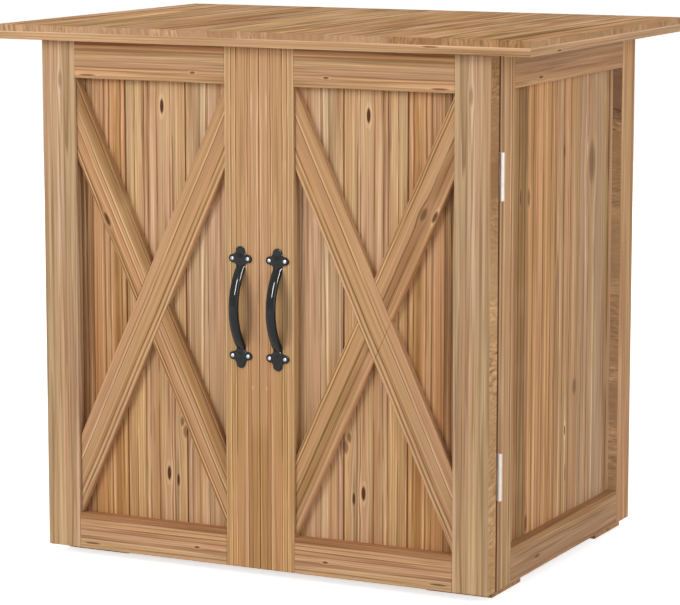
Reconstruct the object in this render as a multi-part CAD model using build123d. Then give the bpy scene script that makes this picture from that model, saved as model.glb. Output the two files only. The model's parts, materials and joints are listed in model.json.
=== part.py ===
from build123d import *
from math import acos, atan2, cos, degrees, hypot, pi, sin
import os

# Low two-door storage cabinet with X-braced barn doors, in millimetres.
# +X points right for someone facing the doors, +Y to the back and +Z up.
# The origin is on the ground, at the centre of the box around the whole cabinet.

# Carcass: two side frames, a back frame and two front rails
CARCASS_WIDTH = 672.0
CARCASS_DEPTH = 488.0
CARCASS_HEIGHT = 710.0
FRAME_THICKNESS = 27.0
POST_WIDTH = 49.0
RAIL_HEIGHT = 49.0
EDGE_EASE = 0.6

# Feet: square pads set in from the faces of the carcass
FOOT_SIZE = 96.0
FOOT_THICKNESS = 12.0
FOOT_INSET = 10.0

# Doors: frames of stiles and rails that cover the whole front
DOOR_THICKNESS = 27.0
DOOR_SEAM = 0.8
DOOR_TOP_GAP = 1.5
STILE_WIDTH = 51.5
DOOR_RAIL_HEIGHT = 50.0

# Panels of tongue-and-groove boards, held in grooves of their frames
BOARD_THICKNESS = 9.0
BOARD_FACE = 93.7
DOOR_FIRST_BOARD = 75.0
SIDE_FIRST_BOARD = 88.0
BACK_FIRST_BOARD = 76.0
NARROWEST_BOARD = 25.0
PANEL_RECESS = 14.0
GROOVE_DEPTH = 8.0
GROOVE_PLAY = 0.1
PANEL_EDGE_PLAY = 0.5
TONGUE_THICKNESS = 3.0
TONGUE_LENGTH = 4.0
TONGUE_PLAY = 0.15
SEAM_GAP = 0.3
SEAM_CHAMFER = 1.0
TENON_SHOULDER = 3.0

# X braces, from corner to corner of each door's opening
BRACE_WIDTH = 46.0
BRACE_RECESS = 4.0
BRACE_PLAY = 0.2
BRACE_EASE = 0.8

# Top: planks running front to back on a mitred trim frame
TOP_SIDE_OVERHANG = 61.5
TOP_FRONT_OVERHANG = 19.0
TOP_REAR_OVERHANG = 26.0
PLANK_THICKNESS = 9.0
PLANK_FACE = 100.0
TRIM_THICKNESS = 11.0
TRIM_WIDTH = 90.0

# Floor and shelf: spaced boards on cleats
FLOOR_THICKNESS = 10.0
FLOOR_BOARD_FACE = 102.0
SHELF_THICKNESS = 12.0
SHELF_BOARD_FACE = 102.0
SHELF_LEVEL = 348.0
SHELF_SETBACK = 20.0
CLEAT_SIZE = 20.0
SPACED_GAP = 3.0
INSIDE_PLAY = 0.6

# Butt hinges, two on each door
HINGE_LENGTH = 63.0
LOWER_HINGE = 155.0
UPPER_HINGE = 551.0
KNUCKLES = 3
KNUCKLE_GAP = 0.3
BARREL_RADIUS = 3.0
BARREL_CLEARANCE = 1.0
PIN_RADIUS = 1.5
PIN_CLEARANCE = 0.05
LEAF_WIDTH = 24.0
LEAF_THICKNESS = 1.2
LEAF_GAP = 0.3
LEAF_CORNER = 2.0
MORTISE_DEPTH = 0.35
MORTISE_PLAY = 0.3
HINGE_SCREWS = 2
HINGE_SCREW_PITCH = 36.0
HINGE_SCREW_INSET = 9.0
HINGE_SCREW_RADIUS = 1.6
HINGE_SCREW_HEAD = 2.8
HINGE_SCREW_LENGTH = 14.0
SCREW_PLAY = 0.05
SCREW_SIDES = 8

# Arched pulls with trefoil ends
HANDLE_LENGTH = 166.0
HANDLE_LEVEL = 359.0
HANDLE_FROM_SEAM = 28.0
PLATE_THICKNESS = 2.4
PLATE_BODY_RADIUS = 10.8
PLATE_TIP_RADIUS = 6.8
PLATE_TIP_REACH = 16.8
PLATE_EAR_RADIUS = 5.6
PLATE_ROUNDING = 3.5
BAR_WIDTH = 14.0
BAR_DEPTH = 9.5
BAR_RISE = 21.0
BAR_LAP = 2.5
BAR_SIDES = 8
HANDLE_SCREW_SPACING = 23.4
HANDLE_SCREW_RADIUS = 1.7
HANDLE_SCREW_HEAD = 2.5
HANDLE_SCREW_HEAD_HEIGHT = 1.6
HANDLE_SCREW_BEVEL = 0.8
HANDLE_SCREW_SIDES = 12
HANDLE_SCREW_LENGTH = 18.0

# Magnetic catches under the front top rail, and their strike plates
CATCH_LENGTH = 42.0
CATCH_HEIGHT = 14.0
CATCH_DEPTH = 16.0
POLE_LENGTH = 32.0
POLE_THICKNESS = 2.0
POLE_DEPTH = 10.0
POLE_SPACING = 6.0
CATCH_GAP = 0.4
STRIKE_LENGTH = 34.0
STRIKE_HEIGHT = 12.0
STRIKE_THICKNESS = 1.2

# Places worked out from the sizes above
hinge_gap = LEAF_GAP + 2 * (LEAF_THICKNESS - MORTISE_DEPTH)
handle_projection = BAR_RISE + BAR_DEPTH / 2
front_reach = max(handle_projection, TOP_FRONT_OVERHANG)
depth_behind_face = DOOR_THICKNESS + hinge_gap + CARCASS_DEPTH + TOP_REAR_OVERHANG
door_front = front_reach - (front_reach + depth_behind_face) / 2
door_back = door_front + DOOR_THICKNESS
post_front = door_back + hinge_gap
post_rear = post_front + CARCASS_DEPTH
carcass_bottom = FOOT_THICKNESS
carcass_top = carcass_bottom + CARCASS_HEIGHT
side_face = CARCASS_WIDTH / 2
inner_face = side_face - FRAME_THICKNESS
inside_front = post_front + FRAME_THICKNESS
inside_rear = post_rear - FRAME_THICKNESS
door_width = (CARCASS_WIDTH - DOOR_SEAM) / 2
door_height = CARCASS_HEIGHT - DOOR_TOP_GAP
panel_tuck = GROOVE_DEPTH - PANEL_EDGE_PLAY
axis_x = side_face + BARREL_CLEARANCE + BARREL_RADIUS
axis_y = post_front - hinge_gap / 2
hinge_bottoms = [carcass_bottom + level - HINGE_LENGTH / 2 for level in (LOWER_HINGE, UPPER_HINGE)]
pin_bore = PIN_RADIUS + PIN_CLEARANCE
knuckle_height = (HINGE_LENGTH - (KNUCKLES - 1) * KNUCKLE_GAP) / KNUCKLES
handle_x = HANDLE_FROM_SEAM
handle_z = carcass_bottom + HANDLE_LEVEL
screw_line = HANDLE_LENGTH / 2 - PLATE_TIP_REACH


def block(x, y, z):
    """Box between the two limits given along each axis."""
    size = Box(x[1] - x[0], y[1] - y[0], z[1] - z[0], align=(Align.MIN, Align.MIN, Align.MIN))
    return Pos(x[0], y[0], z[0]) * size


def eased(piece):
    """The piece with all its edges lightly bevelled, as sanded timber has."""
    return chamfer(piece.edges(), EDGE_EASE)


def groove(x, z):
    """Cutter for the slot that a panel's edge sits in, behind a face at y = 0."""
    rear = PANEL_RECESS + BOARD_THICKNESS + GROOVE_PLAY
    return block(x, (PANEL_RECESS - GROOVE_PLAY, rear), z)


def stile(width, thickness, height, groove_on_right):
    """Upright frame member with its face at y = 0 and a slot along one edge."""
    start = width - GROOVE_DEPTH if groove_on_right else 0
    piece = eased(block((0, width), (0, thickness), (0, height)))
    return piece - groove((start, start + GROOVE_DEPTH), (0, height))


def rail(length, thickness, height, groove_on_top):
    """Level frame member with a slot along one edge and a stub tenon at each end."""
    start = height - GROOVE_DEPTH if groove_on_top else 0
    low = TENON_SHOULDER if groove_on_top else GROOVE_DEPTH
    high = height - GROOVE_DEPTH if groove_on_top else height - TENON_SHOULDER
    piece = eased(block((0, length), (0, thickness), (0, height)))
    piece -= groove((0, length), (start, start + GROOVE_DEPTH))
    depth = (PANEL_RECESS, PANEL_RECESS + BOARD_THICKNESS)
    return piece + block((-panel_tuck, length + panel_tuck), depth, (low, high))


def board_outline(left, right, thickness, has_groove, has_tongue):
    """Cross-section of one board, from its face at y = 0 back to its thickness."""
    low = (thickness - TONGUE_THICKNESS) / 2
    high = (thickness + TONGUE_THICKNESS) / 2
    points = [(left + SEAM_CHAMFER, 0), (right - SEAM_CHAMFER, 0), (right, SEAM_CHAMFER)]
    if has_tongue:
        tip = right + TONGUE_LENGTH
        points += [(right, low), (tip, low), (tip, high), (right, high)]
    points += [(right, thickness), (left, thickness)]
    if has_groove:
        bottom = left + SEAM_GAP + TONGUE_LENGTH
        low -= TONGUE_PLAY
        high += TONGUE_PLAY
        points += [(left, high), (bottom, high), (bottom, low), (left, low)]
    return points + [(left, SEAM_CHAMFER)]


def boarding(seams, thickness, height):
    """Upright tongue-and-groove boards between the given seams, faces at y = 0."""
    boards = []
    last = len(seams) - 2
    for i in range(last + 1):
        left = seams[i] + (SEAM_GAP / 2 if i > 0 else 0)
        right = seams[i + 1] - (SEAM_GAP / 2 if i < last else 0)
        outline = board_outline(left, right, thickness, i > 0, i < last)
        boards.append(extrude(make_face(Polyline(outline, close=True)), height, dir=(0, 0, 1)))
    return boards


def panel(opening_width, opening_height, first_board):
    """Boards that fill a frame's opening and tuck into its slots on all four edges."""
    width = opening_width + 2 * panel_tuck
    seams = [0]
    while first_board + (len(seams) - 1) * BOARD_FACE < width - NARROWEST_BOARD:
        seams.append(first_board + (len(seams) - 1) * BOARD_FACE)
    boards = boarding(seams + [width], BOARD_THICKNESS, opening_height + 2 * panel_tuck)
    return [Pos(-panel_tuck, PANEL_RECESS, -panel_tuck) * board for board in boards]


def spaced_boards(start, end, face, make_board):
    """Boards of about the given face from start to end, with equal gaps between them."""
    count = max(1, round((end - start + SPACED_GAP) / (face + SPACED_GAP)))
    width = (end - start + SPACED_GAP) / count - SPACED_GAP
    boards = []
    for i in range(count):
        low = start + i * (width + SPACED_GAP)
        boards.append(make_board((low, low + width)))
    return boards


def side_frame():
    """Right side frame: two posts, two rails and the boards between them."""
    place = Pos(side_face, post_front, carcass_bottom) * Rot(0, 0, 90)
    rail_length = CARCASS_DEPTH - 2 * POST_WIDTH
    opening_height = CARCASS_HEIGHT - 2 * RAIL_HEIGHT
    front_post = stile(POST_WIDTH, FRAME_THICKNESS, CARCASS_HEIGHT, True)
    rear_post = stile(POST_WIDTH, FRAME_THICKNESS, CARCASS_HEIGHT, False)
    bottom_rail = rail(rail_length, FRAME_THICKNESS, RAIL_HEIGHT, True)
    top_rail = rail(rail_length, FRAME_THICKNESS, RAIL_HEIGHT, False)
    boards = panel(rail_length, opening_height, SIDE_FIRST_BOARD)
    rear_post = place * Pos(CARCASS_DEPTH - POST_WIDTH, 0, 0) * rear_post
    back_slot_x = (inner_face, inner_face + GROOVE_DEPTH)
    back_slot_y = post_rear - PANEL_RECESS + GROOVE_PLAY
    back_slot_front = post_rear - PANEL_RECESS - BOARD_THICKNESS - GROOVE_PLAY
    rear_post -= block(back_slot_x, (back_slot_front, back_slot_y), (carcass_bottom, carcass_top))
    return {
        "front_post": place * front_post,
        "rear_post": rear_post,
        "bottom_rail": place * Pos(POST_WIDTH, 0, 0) * bottom_rail,
        "top_rail": place * Pos(POST_WIDTH, 0, CARCASS_HEIGHT - RAIL_HEIGHT) * top_rail,
        "side_boards": [place * Pos(POST_WIDTH, 0, RAIL_HEIGHT) * board for board in boards],
    }


def back_frame():
    """Back rails and boards, held between the rear posts and facing the back."""
    place = Pos(inner_face, post_rear, carcass_bottom) * Rot(0, 0, 180)
    width = 2 * inner_face
    boards = panel(width, CARCASS_HEIGHT - 2 * RAIL_HEIGHT, BACK_FIRST_BOARD)
    top_rail = rail(width, FRAME_THICKNESS, RAIL_HEIGHT, False)
    return {
        "back_bottom_rail": place * rail(width, FRAME_THICKNESS, RAIL_HEIGHT, True),
        "back_top_rail": place * Pos(0, 0, CARCASS_HEIGHT - RAIL_HEIGHT) * top_rail,
        "back_boards": [place * Pos(0, 0, RAIL_HEIGHT) * board for board in boards],
    }


def front_rails():
    """Rails between the front posts, behind the doors."""
    x = (-inner_face, inner_face)
    y = (post_front, inside_front)
    low = (carcass_bottom, carcass_bottom + RAIL_HEIGHT)
    high = (carcass_top - RAIL_HEIGHT, carcass_top)
    return {
        "front_bottom_rail": block(x, y, low),
        "front_top_rail": block(x, y, high),
    }


def inside_pieces():
    """Floor and shelf boards, with the cleats that carry them."""
    x = (INSIDE_PLAY - inner_face, inner_face - INSIDE_PLAY)
    y = (inside_front + INSIDE_PLAY, inside_rear - INSIDE_PLAY)
    floor_top = carcass_bottom + RAIL_HEIGHT
    floor_z = (floor_top - FLOOR_THICKNESS, floor_top)
    floor = spaced_boards(x[0], x[1], FLOOR_BOARD_FACE, lambda span: block(span, y, floor_z))
    cleat_z = (floor_z[0] - CLEAT_SIZE, floor_z[0])
    front_cleat = block(x, (inside_front, inside_front + CLEAT_SIZE), cleat_z)
    rear_cleat = block(x, (inside_rear - CLEAT_SIZE, inside_rear), cleat_z)
    shelf_bottom = carcass_bottom + SHELF_LEVEL
    shelf_z = (shelf_bottom, shelf_bottom + SHELF_THICKNESS)
    shelf_front = inside_front + SHELF_SETBACK
    shelf = spaced_boards(shelf_front, y[1], SHELF_BOARD_FACE, lambda span: block(x, span, shelf_z))
    side_cleat_x = (inner_face - CLEAT_SIZE, inner_face)
    side_cleat = block(side_cleat_x, y, (shelf_bottom - CLEAT_SIZE, shelf_bottom))
    return {
        "floor_boards": floor,
        "floor_cleats": [front_cleat, rear_cleat],
        "shelf_boards": shelf,
        "shelf_cleats": [side_cleat, mirror(side_cleat, Plane.YZ)],
    }


def top_pieces():
    """Plank layer and the mitred trim frame that it lies on."""
    half = side_face + TOP_SIDE_OVERHANG
    front = door_front - TOP_FRONT_OVERHANG
    rear = post_rear + TOP_REAR_OVERHANG
    count = max(1, round(2 * half / PLANK_FACE))
    seams = [2 * half * i / count - half for i in range(count + 1)]
    plank_top = carcass_top + TRIM_THICKNESS + PLANK_THICKNESS
    lay = Pos(0, front, plank_top) * Rot(-90, 0, 0)
    planks = boarding(seams, PLANK_THICKNESS, rear - front)
    outer = [(-half, front), (half, front), (half, rear), (-half, rear)]
    inner_half = half - TRIM_WIDTH
    inner_front = front + TRIM_WIDTH
    inner_rear = rear - TRIM_WIDTH
    inner = [(-inner_half, inner_front), (inner_half, inner_front)]
    inner += [(inner_half, inner_rear), (-inner_half, inner_rear)]
    pieces = {"top_planks": [lay * plank for plank in planks]}
    for i, side in enumerate(("front", "right", "rear", "left")):
        j = (i + 1) % 4
        outline = make_face(Polyline(outer[i], outer[j], inner[j], inner[i], close=True))
        strip = Pos(0, 0, carcass_top) * extrude(outline, TRIM_THICKNESS, dir=(0, 0, 1))
        pieces["top_trim_" + side] = strip
    return pieces


def feet():
    """Square pads under the four corners of the carcass."""
    x = (side_face - FOOT_INSET - FOOT_SIZE, side_face - FOOT_INSET)
    front_y = (post_front + FOOT_INSET, post_front + FOOT_INSET + FOOT_SIZE)
    rear_y = (post_rear - FOOT_INSET - FOOT_SIZE, post_rear - FOOT_INSET)
    pads = {}
    for name, y in (("front_foot", front_y), ("rear_foot", rear_y)):
        pad = block(x, y, (0, FOOT_THICKNESS))
        pads[name] = chamfer(pad.edges().group_by(Axis.Z)[0], EDGE_EASE)
    return pads


def door_braces():
    """X braces of the right door: a long one in two lengths, and two half braces.

    Each strip runs between the opening's stiles. Its upper edge starts at one top corner
    and its lower edge ends at the opposite bottom corner, which fixes its slope.
    """
    wide = door_width - 2 * STILE_WIDTH
    tall = door_height - 2 * DOOR_RAIL_HEIGHT
    slope = degrees(acos(BRACE_WIDTH / hypot(wide, tall)) - atan2(wide, tall))
    reach = wide + tall
    opening = Rectangle(wide - 2 * BRACE_PLAY, tall - 2 * BRACE_PLAY)
    falling = (Rot(0, 0, -slope) * Rectangle(reach, BRACE_WIDTH)) & opening
    rising = (Rot(0, 0, slope) * Rectangle(reach, BRACE_WIDTH)) & opening
    crossing = Rot(0, 0, -slope) * Rectangle(reach, BRACE_WIDTH + 2 * BRACE_PLAY)
    halves = (rising - crossing).faces().sort_by(Axis.Y)
    below = Rot(0, 0, slope) * Pos(0, -(BRACE_WIDTH + reach) / 2) * Rectangle(reach, reach)
    below_gap = Pos(0, -BRACE_PLAY) * below
    centre = Pos(door_width / 2, PANEL_RECESS, door_height / 2)
    outlines = {
        "long_brace": falling,
        "long_brace_upper": falling - below,
        "long_brace_lower": falling & below_gap,
        "half_brace_lower": halves[0],
        "half_brace_upper": halves[-1],
    }
    braces = {}
    for name, outline in outlines.items():
        strip = extrude(outline, PANEL_RECESS - BRACE_RECESS, dir=(0, 0, 1))
        strip = chamfer(strip.faces().sort_by(Axis.Z)[-1].edges(), BRACE_EASE)
        braces[name] = centre * Rot(90, 0, 0) * strip
    return braces


def door_frame():
    """Right door's stiles, rails, boards and braces, with x = 0 at its seam edge."""
    rail_length = door_width - 2 * STILE_WIDTH
    opening_height = door_height - 2 * DOOR_RAIL_HEIGHT
    outer_stile = stile(STILE_WIDTH, DOOR_THICKNESS, door_height, False)
    top_rail = rail(rail_length, DOOR_THICKNESS, DOOR_RAIL_HEIGHT, False)
    bottom_rail = rail(rail_length, DOOR_THICKNESS, DOOR_RAIL_HEIGHT, True)
    boards = panel(rail_length, opening_height, DOOR_FIRST_BOARD)
    pieces = {
        "door_inner_stile": stile(STILE_WIDTH, DOOR_THICKNESS, door_height, True),
        "door_outer_stile": Pos(door_width - STILE_WIDTH, 0, 0) * outer_stile,
        "door_top_rail": Pos(STILE_WIDTH, 0, door_height - DOOR_RAIL_HEIGHT) * top_rail,
        "door_bottom_rail": Pos(STILE_WIDTH, 0, 0) * bottom_rail,
        "door_boards": [Pos(STILE_WIDTH, 0, DOOR_RAIL_HEIGHT) * board for board in boards],
    }
    pieces.update(door_braces())
    place = Pos(DOOR_SEAM / 2, door_front, carcass_bottom)
    return {name: moved(piece, place) for name, piece in pieces.items()}


def moved(piece, place):
    """A piece, or each piece of a group, carried to its place."""
    if isinstance(piece, list):
        return [place * one for one in piece]
    return place * piece


def rod(radius, length):
    """Round bar standing on z = 0."""
    return Cylinder(radius, length, align=(Align.CENTER, Align.CENTER, Align.MIN))


def hinge_leaf(knuckle_numbers, side):
    """One leaf with its knuckles round the z axis; side is 1 behind the axis, -1 before it."""
    near = LEAF_GAP / 2
    flat_y = sorted((side * near, side * (near + LEAF_THICKNESS)))
    flat_edge = -(BARREL_RADIUS + KNUCKLE_GAP)
    leaf = block((-LEAF_WIDTH, flat_edge), flat_y, (0, HINGE_LENGTH))
    leaf = chamfer(leaf.edges().filter_by(Axis.Y).group_by(Axis.X)[0], LEAF_CORNER)
    for number in knuckle_numbers:
        low = number * (knuckle_height + KNUCKLE_GAP)
        span = (low, low + knuckle_height)
        leaf += block((flat_edge, -(pin_bore + BARREL_RADIUS) / 2), flat_y, span)
        leaf += Pos(0, 0, low) * (rod(BARREL_RADIUS, knuckle_height) - rod(pin_bore, knuckle_height))
    for z in hinge_screw_heights():
        leaf -= hinge_screw_place(z, side) * countersunk_head(SCREW_PLAY)
    return leaf


def hinge_screw_heights():
    """Heights of the screws along one hinge."""
    middle = (HINGE_SCREWS - 1) / 2
    return [HINGE_LENGTH / 2 + (i - middle) * HINGE_SCREW_PITCH for i in range(HINGE_SCREWS)]


def hinge_screw_place(z, side):
    """Where a screw's head lies in a leaf, with the screw pointing into the wood."""
    x = HINGE_SCREW_INSET - LEAF_WIDTH
    return Pos(x, side * LEAF_GAP / 2, z) * Rot(-90 * side, 0, 0)


def shank(radius, length):
    """Plain screw shank standing on z = 0, drawn with few sides."""
    return extrude(RegularPolygon(radius, SCREW_SIDES), length)


def countersunk_head(play):
    """Tapered screw head as deep as a leaf, its face on z = 0, widened by some play."""
    step_in = (HINGE_SCREW_HEAD - HINGE_SCREW_RADIUS) * cos(pi / SCREW_SIDES)
    taper = degrees(atan2(step_in, LEAF_THICKNESS))
    return extrude(RegularPolygon(HINGE_SCREW_HEAD + play, SCREW_SIDES), LEAF_THICKNESS, taper=taper)


def hinge_screw():
    """Countersunk screw, its head's face on z = 0."""
    body = Pos(0, 0, LEAF_THICKNESS) * shank(HINGE_SCREW_RADIUS, HINGE_SCREW_LENGTH - LEAF_THICKNESS)
    return countersunk_head(0) + body


def hinges():
    """Right door's hinges, and the cutters for their mortises and screw holes."""
    frame_leaf = hinge_leaf(range(0, KNUCKLES, 2), 1)
    door_leaf = hinge_leaf(range(1, KNUCKLES, 2), -1)
    hole = shank(HINGE_SCREW_RADIUS + SCREW_PLAY, HINGE_SCREW_LENGTH + SCREW_PLAY)
    let_in = LEAF_GAP / 2 + LEAF_THICKNESS
    mortise_x = (-LEAF_WIDTH - MORTISE_PLAY, 0)
    mortise = block(mortise_x, (-let_in, let_in), (-MORTISE_PLAY, HINGE_LENGTH + MORTISE_PLAY))
    pieces = {"frame_leaves": [], "door_leaves": [], "pins": []}
    pieces.update({"frame_screws": [], "door_screws": [], "cutters": []})
    for bottom in hinge_bottoms:
        place = Pos(axis_x, axis_y, bottom)
        pieces["frame_leaves"].append(place * frame_leaf)
        pieces["door_leaves"].append(place * door_leaf)
        pieces["pins"].append(place * rod(PIN_RADIUS, HINGE_LENGTH))
        pieces["cutters"].append(place * mortise)
        for z in hinge_screw_heights():
            pieces["frame_screws"].append(place * hinge_screw_place(z, 1) * hinge_screw())
            pieces["door_screws"].append(place * hinge_screw_place(z, -1) * hinge_screw())
            pieces["cutters"].append(place * hinge_screw_place(z, 1) * hole)
            pieces["cutters"].append(place * hinge_screw_place(z, -1) * hole)
    return pieces


def handle_plate():
    """Trefoil end plate, lying on z = 0 with its tip along +Y and the screw line on the x axis."""
    ear_x = HANDLE_SCREW_SPACING / 2
    tip_y = PLATE_TIP_REACH - PLATE_TIP_RADIUS
    outline = Circle(PLATE_BODY_RADIUS) + Pos(0, tip_y) * Circle(PLATE_TIP_RADIUS)
    outline += Pos(0, tip_y / 2) * Rectangle(2 * PLATE_TIP_RADIUS, tip_y)
    for x in (-ear_x, ear_x):
        outline += Pos(x, 0) * Circle(PLATE_EAR_RADIUS)
    outline = offset(offset(outline, PLATE_ROUNDING), -PLATE_ROUNDING)
    plate = extrude(outline, PLATE_THICKNESS)
    for x in (-ear_x, ear_x):
        plate -= Pos(x, 0) * shank(HANDLE_SCREW_RADIUS + SCREW_PLAY, PLATE_THICKNESS)
    return plate


def bar_section():
    """Oval of flats that touch the bar's width and depth."""
    points = []
    for i in range(BAR_SIDES):
        turn = 2 * pi * (i + 0.5) / BAR_SIDES
        stretch = 0.5 / cos(pi / BAR_SIDES)
        points.append((BAR_WIDTH * stretch * cos(turn), BAR_DEPTH * stretch * sin(turn)))
    return make_face(Polyline(points, close=True))


def handle():
    """Arched pull: an oval bar swept along an arc between two trefoil plates."""
    end_y = screw_line - PLATE_BODY_RADIUS + BAR_LAP
    end_z = PLATE_THICKNESS - BAR_DEPTH / 2
    arc = ThreePointArc((0, -end_y, end_z), (0, 0, BAR_RISE), (0, end_y, end_z))
    start = Plane(origin=arc @ 0, x_dir=(1, 0, 0), z_dir=arc % 0)
    bar = sweep(start * bar_section(), path=arc)
    bar -= block((-BAR_WIDTH, BAR_WIDTH), (-HANDLE_LENGTH, HANDLE_LENGTH), (-BAR_RISE, 0))
    upper = Pos(0, screw_line) * handle_plate()
    return bar + upper + mirror(upper, Plane.XZ)


def handle_screw():
    """Pan-head screw, its head standing on z = 0 and its shank below."""
    head = extrude(RegularPolygon(HANDLE_SCREW_HEAD, HANDLE_SCREW_SIDES), HANDLE_SCREW_HEAD_HEIGHT)
    head = chamfer(head.edges().group_by(Axis.Z)[-1], HANDLE_SCREW_BEVEL)
    return head + Pos(0, 0, -HANDLE_SCREW_LENGTH) * shank(HANDLE_SCREW_RADIUS, HANDLE_SCREW_LENGTH)


def pull():
    """Right door's handle on its stile, its screws, and the cutters for their holes."""
    place = Pos(handle_x, door_front, handle_z) * Rot(90, 0, 0)
    hole_depth = HANDLE_SCREW_LENGTH - PLATE_THICKNESS + SCREW_PLAY
    hole = Pos(0, 0, -hole_depth) * shank(HANDLE_SCREW_RADIUS + SCREW_PLAY, hole_depth)
    screws = []
    cutters = []
    for x in (-HANDLE_SCREW_SPACING / 2, HANDLE_SCREW_SPACING / 2):
        for y in (-screw_line, screw_line):
            screws.append(place * Pos(x, y, PLATE_THICKNESS) * handle_screw())
            cutters.append(place * Pos(x, y, 0) * hole)
    return {"handle": place * handle(), "handle_screws": screws, "cutters": cutters}


def catch():
    """Right door's magnetic catch under the front top rail, and its strike plate."""
    middle_x = (DOOR_SEAM + STILE_WIDTH) / 2
    rail_bottom = carcass_top - RAIL_HEIGHT
    middle_z = rail_bottom - CATCH_HEIGHT / 2
    x = (middle_x - CATCH_LENGTH / 2, middle_x + CATCH_LENGTH / 2)
    y = (post_front, post_front + CATCH_DEPTH)
    housing = block(x, y, (rail_bottom - CATCH_HEIGHT, rail_bottom))
    strike_rear = door_back + STRIKE_THICKNESS
    pole_x = (middle_x - POLE_LENGTH / 2, middle_x + POLE_LENGTH / 2)
    pole_y = (strike_rear + CATCH_GAP, post_front + POLE_DEPTH)
    poles = []
    for centre in (middle_z - POLE_SPACING / 2, middle_z + POLE_SPACING / 2):
        pole = block(pole_x, pole_y, (centre - POLE_THICKNESS / 2, centre + POLE_THICKNESS / 2))
        housing -= pole
        poles.append(pole)
    strike_x = (middle_x - STRIKE_LENGTH / 2, middle_x + STRIKE_LENGTH / 2)
    strike_z = (middle_z - STRIKE_HEIGHT / 2, middle_z + STRIKE_HEIGHT / 2)
    return {"housing": housing, "poles": poles, "strike": block(strike_x, (door_back, strike_rear), strike_z)}


def mirrored(piece):
    """A piece, or each piece of a group, moved to the other half of the cabinet."""
    if isinstance(piece, list):
        return [mirror(one, Plane.YZ) for one in piece]
    return mirror(piece, Plane.YZ)


def cut_by(piece, cutters):
    """The piece with mortises or screw holes cut into it."""
    for cutter in cutters:
        piece = piece - cutter
    return piece


def cabinet():
    """All pieces by name, built for the right half where a left one mirrors it."""
    nodes = {}
    nodes.update(top_pieces())
    nodes.update(back_frame())
    nodes.update(front_rails())
    nodes.update(inside_pieces())
    hinge = hinges()
    grip = pull()
    magnet = catch()
    paired = side_frame()
    paired["front_post"] = cut_by(paired["front_post"], hinge["cutters"])
    paired.update(feet())
    door = door_frame()
    door["door_outer_stile"] = cut_by(door["door_outer_stile"], hinge["cutters"])
    door["door_inner_stile"] = cut_by(door["door_inner_stile"], grip["cutters"])
    right_only = {name: door.pop(name) for name in ("long_brace_upper", "long_brace_lower")}
    left_only = {"long_brace": door.pop("long_brace")}
    paired.update(door)
    paired["handle"] = grip["handle"]
    paired["handle_screws"] = grip["handle_screws"]
    paired["hinge_door_leaves"] = hinge["door_leaves"]
    paired["hinge_door_screws"] = hinge["door_screws"]
    paired["strike_plate"] = magnet["strike"]
    for name, piece in paired.items():
        nodes["right_" + name] = piece
        nodes["left_" + name] = mirrored(piece)
    for name, piece in right_only.items():
        nodes["right_" + name] = piece
    for name, piece in left_only.items():
        nodes["left_" + name] = mirrored(piece)
    nodes["hinge_frame_leaves"] = hinge["frame_leaves"] + mirrored(hinge["frame_leaves"])
    nodes["hinge_pins"] = hinge["pins"] + mirrored(hinge["pins"])
    nodes["hinge_frame_screws"] = hinge["frame_screws"] + mirrored(hinge["frame_screws"])
    nodes["catch_housings"] = [magnet["housing"], mirrored(magnet["housing"])]
    nodes["catch_poles"] = magnet["poles"] + mirrored(magnet["poles"])
    return nodes


os.makedirs("parts", exist_ok=True)
for node, piece in cabinet().items():
    pieces = piece if isinstance(piece, list) else [piece]
    solids = [solid for one in pieces for solid in one.solids()]
    export_step(Compound(children=solids), "parts/" + node + ".step")
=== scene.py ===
import json
import math

import bmesh
import bpy
import numpy as np
from bpy.props import FloatProperty, FloatVectorProperty, PointerProperty
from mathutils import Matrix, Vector


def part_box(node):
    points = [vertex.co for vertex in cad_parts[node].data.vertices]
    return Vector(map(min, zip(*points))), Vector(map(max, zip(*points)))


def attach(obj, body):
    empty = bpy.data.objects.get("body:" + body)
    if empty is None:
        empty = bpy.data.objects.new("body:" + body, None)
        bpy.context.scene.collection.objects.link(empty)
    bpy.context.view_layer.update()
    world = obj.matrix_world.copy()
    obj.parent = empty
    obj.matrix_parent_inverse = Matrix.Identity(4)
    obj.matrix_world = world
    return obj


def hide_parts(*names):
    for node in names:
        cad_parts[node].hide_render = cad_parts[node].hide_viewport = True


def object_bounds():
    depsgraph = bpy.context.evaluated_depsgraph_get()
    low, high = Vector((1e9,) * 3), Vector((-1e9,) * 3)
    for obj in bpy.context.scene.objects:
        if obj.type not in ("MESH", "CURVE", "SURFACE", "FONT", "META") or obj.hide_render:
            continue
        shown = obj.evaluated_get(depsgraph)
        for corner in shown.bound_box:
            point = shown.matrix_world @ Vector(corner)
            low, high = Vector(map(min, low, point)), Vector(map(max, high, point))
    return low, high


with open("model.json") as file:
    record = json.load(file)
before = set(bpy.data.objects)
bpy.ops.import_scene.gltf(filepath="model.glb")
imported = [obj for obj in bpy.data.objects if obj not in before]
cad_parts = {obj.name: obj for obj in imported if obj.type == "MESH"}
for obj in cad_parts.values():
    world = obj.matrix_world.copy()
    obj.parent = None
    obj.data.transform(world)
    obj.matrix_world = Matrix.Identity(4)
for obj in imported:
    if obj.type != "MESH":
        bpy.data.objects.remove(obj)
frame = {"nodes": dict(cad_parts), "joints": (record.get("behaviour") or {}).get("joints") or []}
CAD_LOW, CAD_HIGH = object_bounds()

bl_info = {
    "name": "Barn Door Storage Cabinet",
    "version": (1, 0, 0),
    "blender": (4, 5, 0),
    "location": "View3D > Sidebar > Cabinet",
    "description": "Dresses a low storage cabinet in stained fir, with black pulls and steel hinges",
    "category": "Object",
}

# Everything is in metres, in the cabinet's frame: +X to the right of the doors, +Y back, +Z up.
X, Y, Z = 0, 1, 2
SIDES = (("right", 1), ("left", -1))
WHITE = (1.0, 1.0, 1.0)


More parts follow.
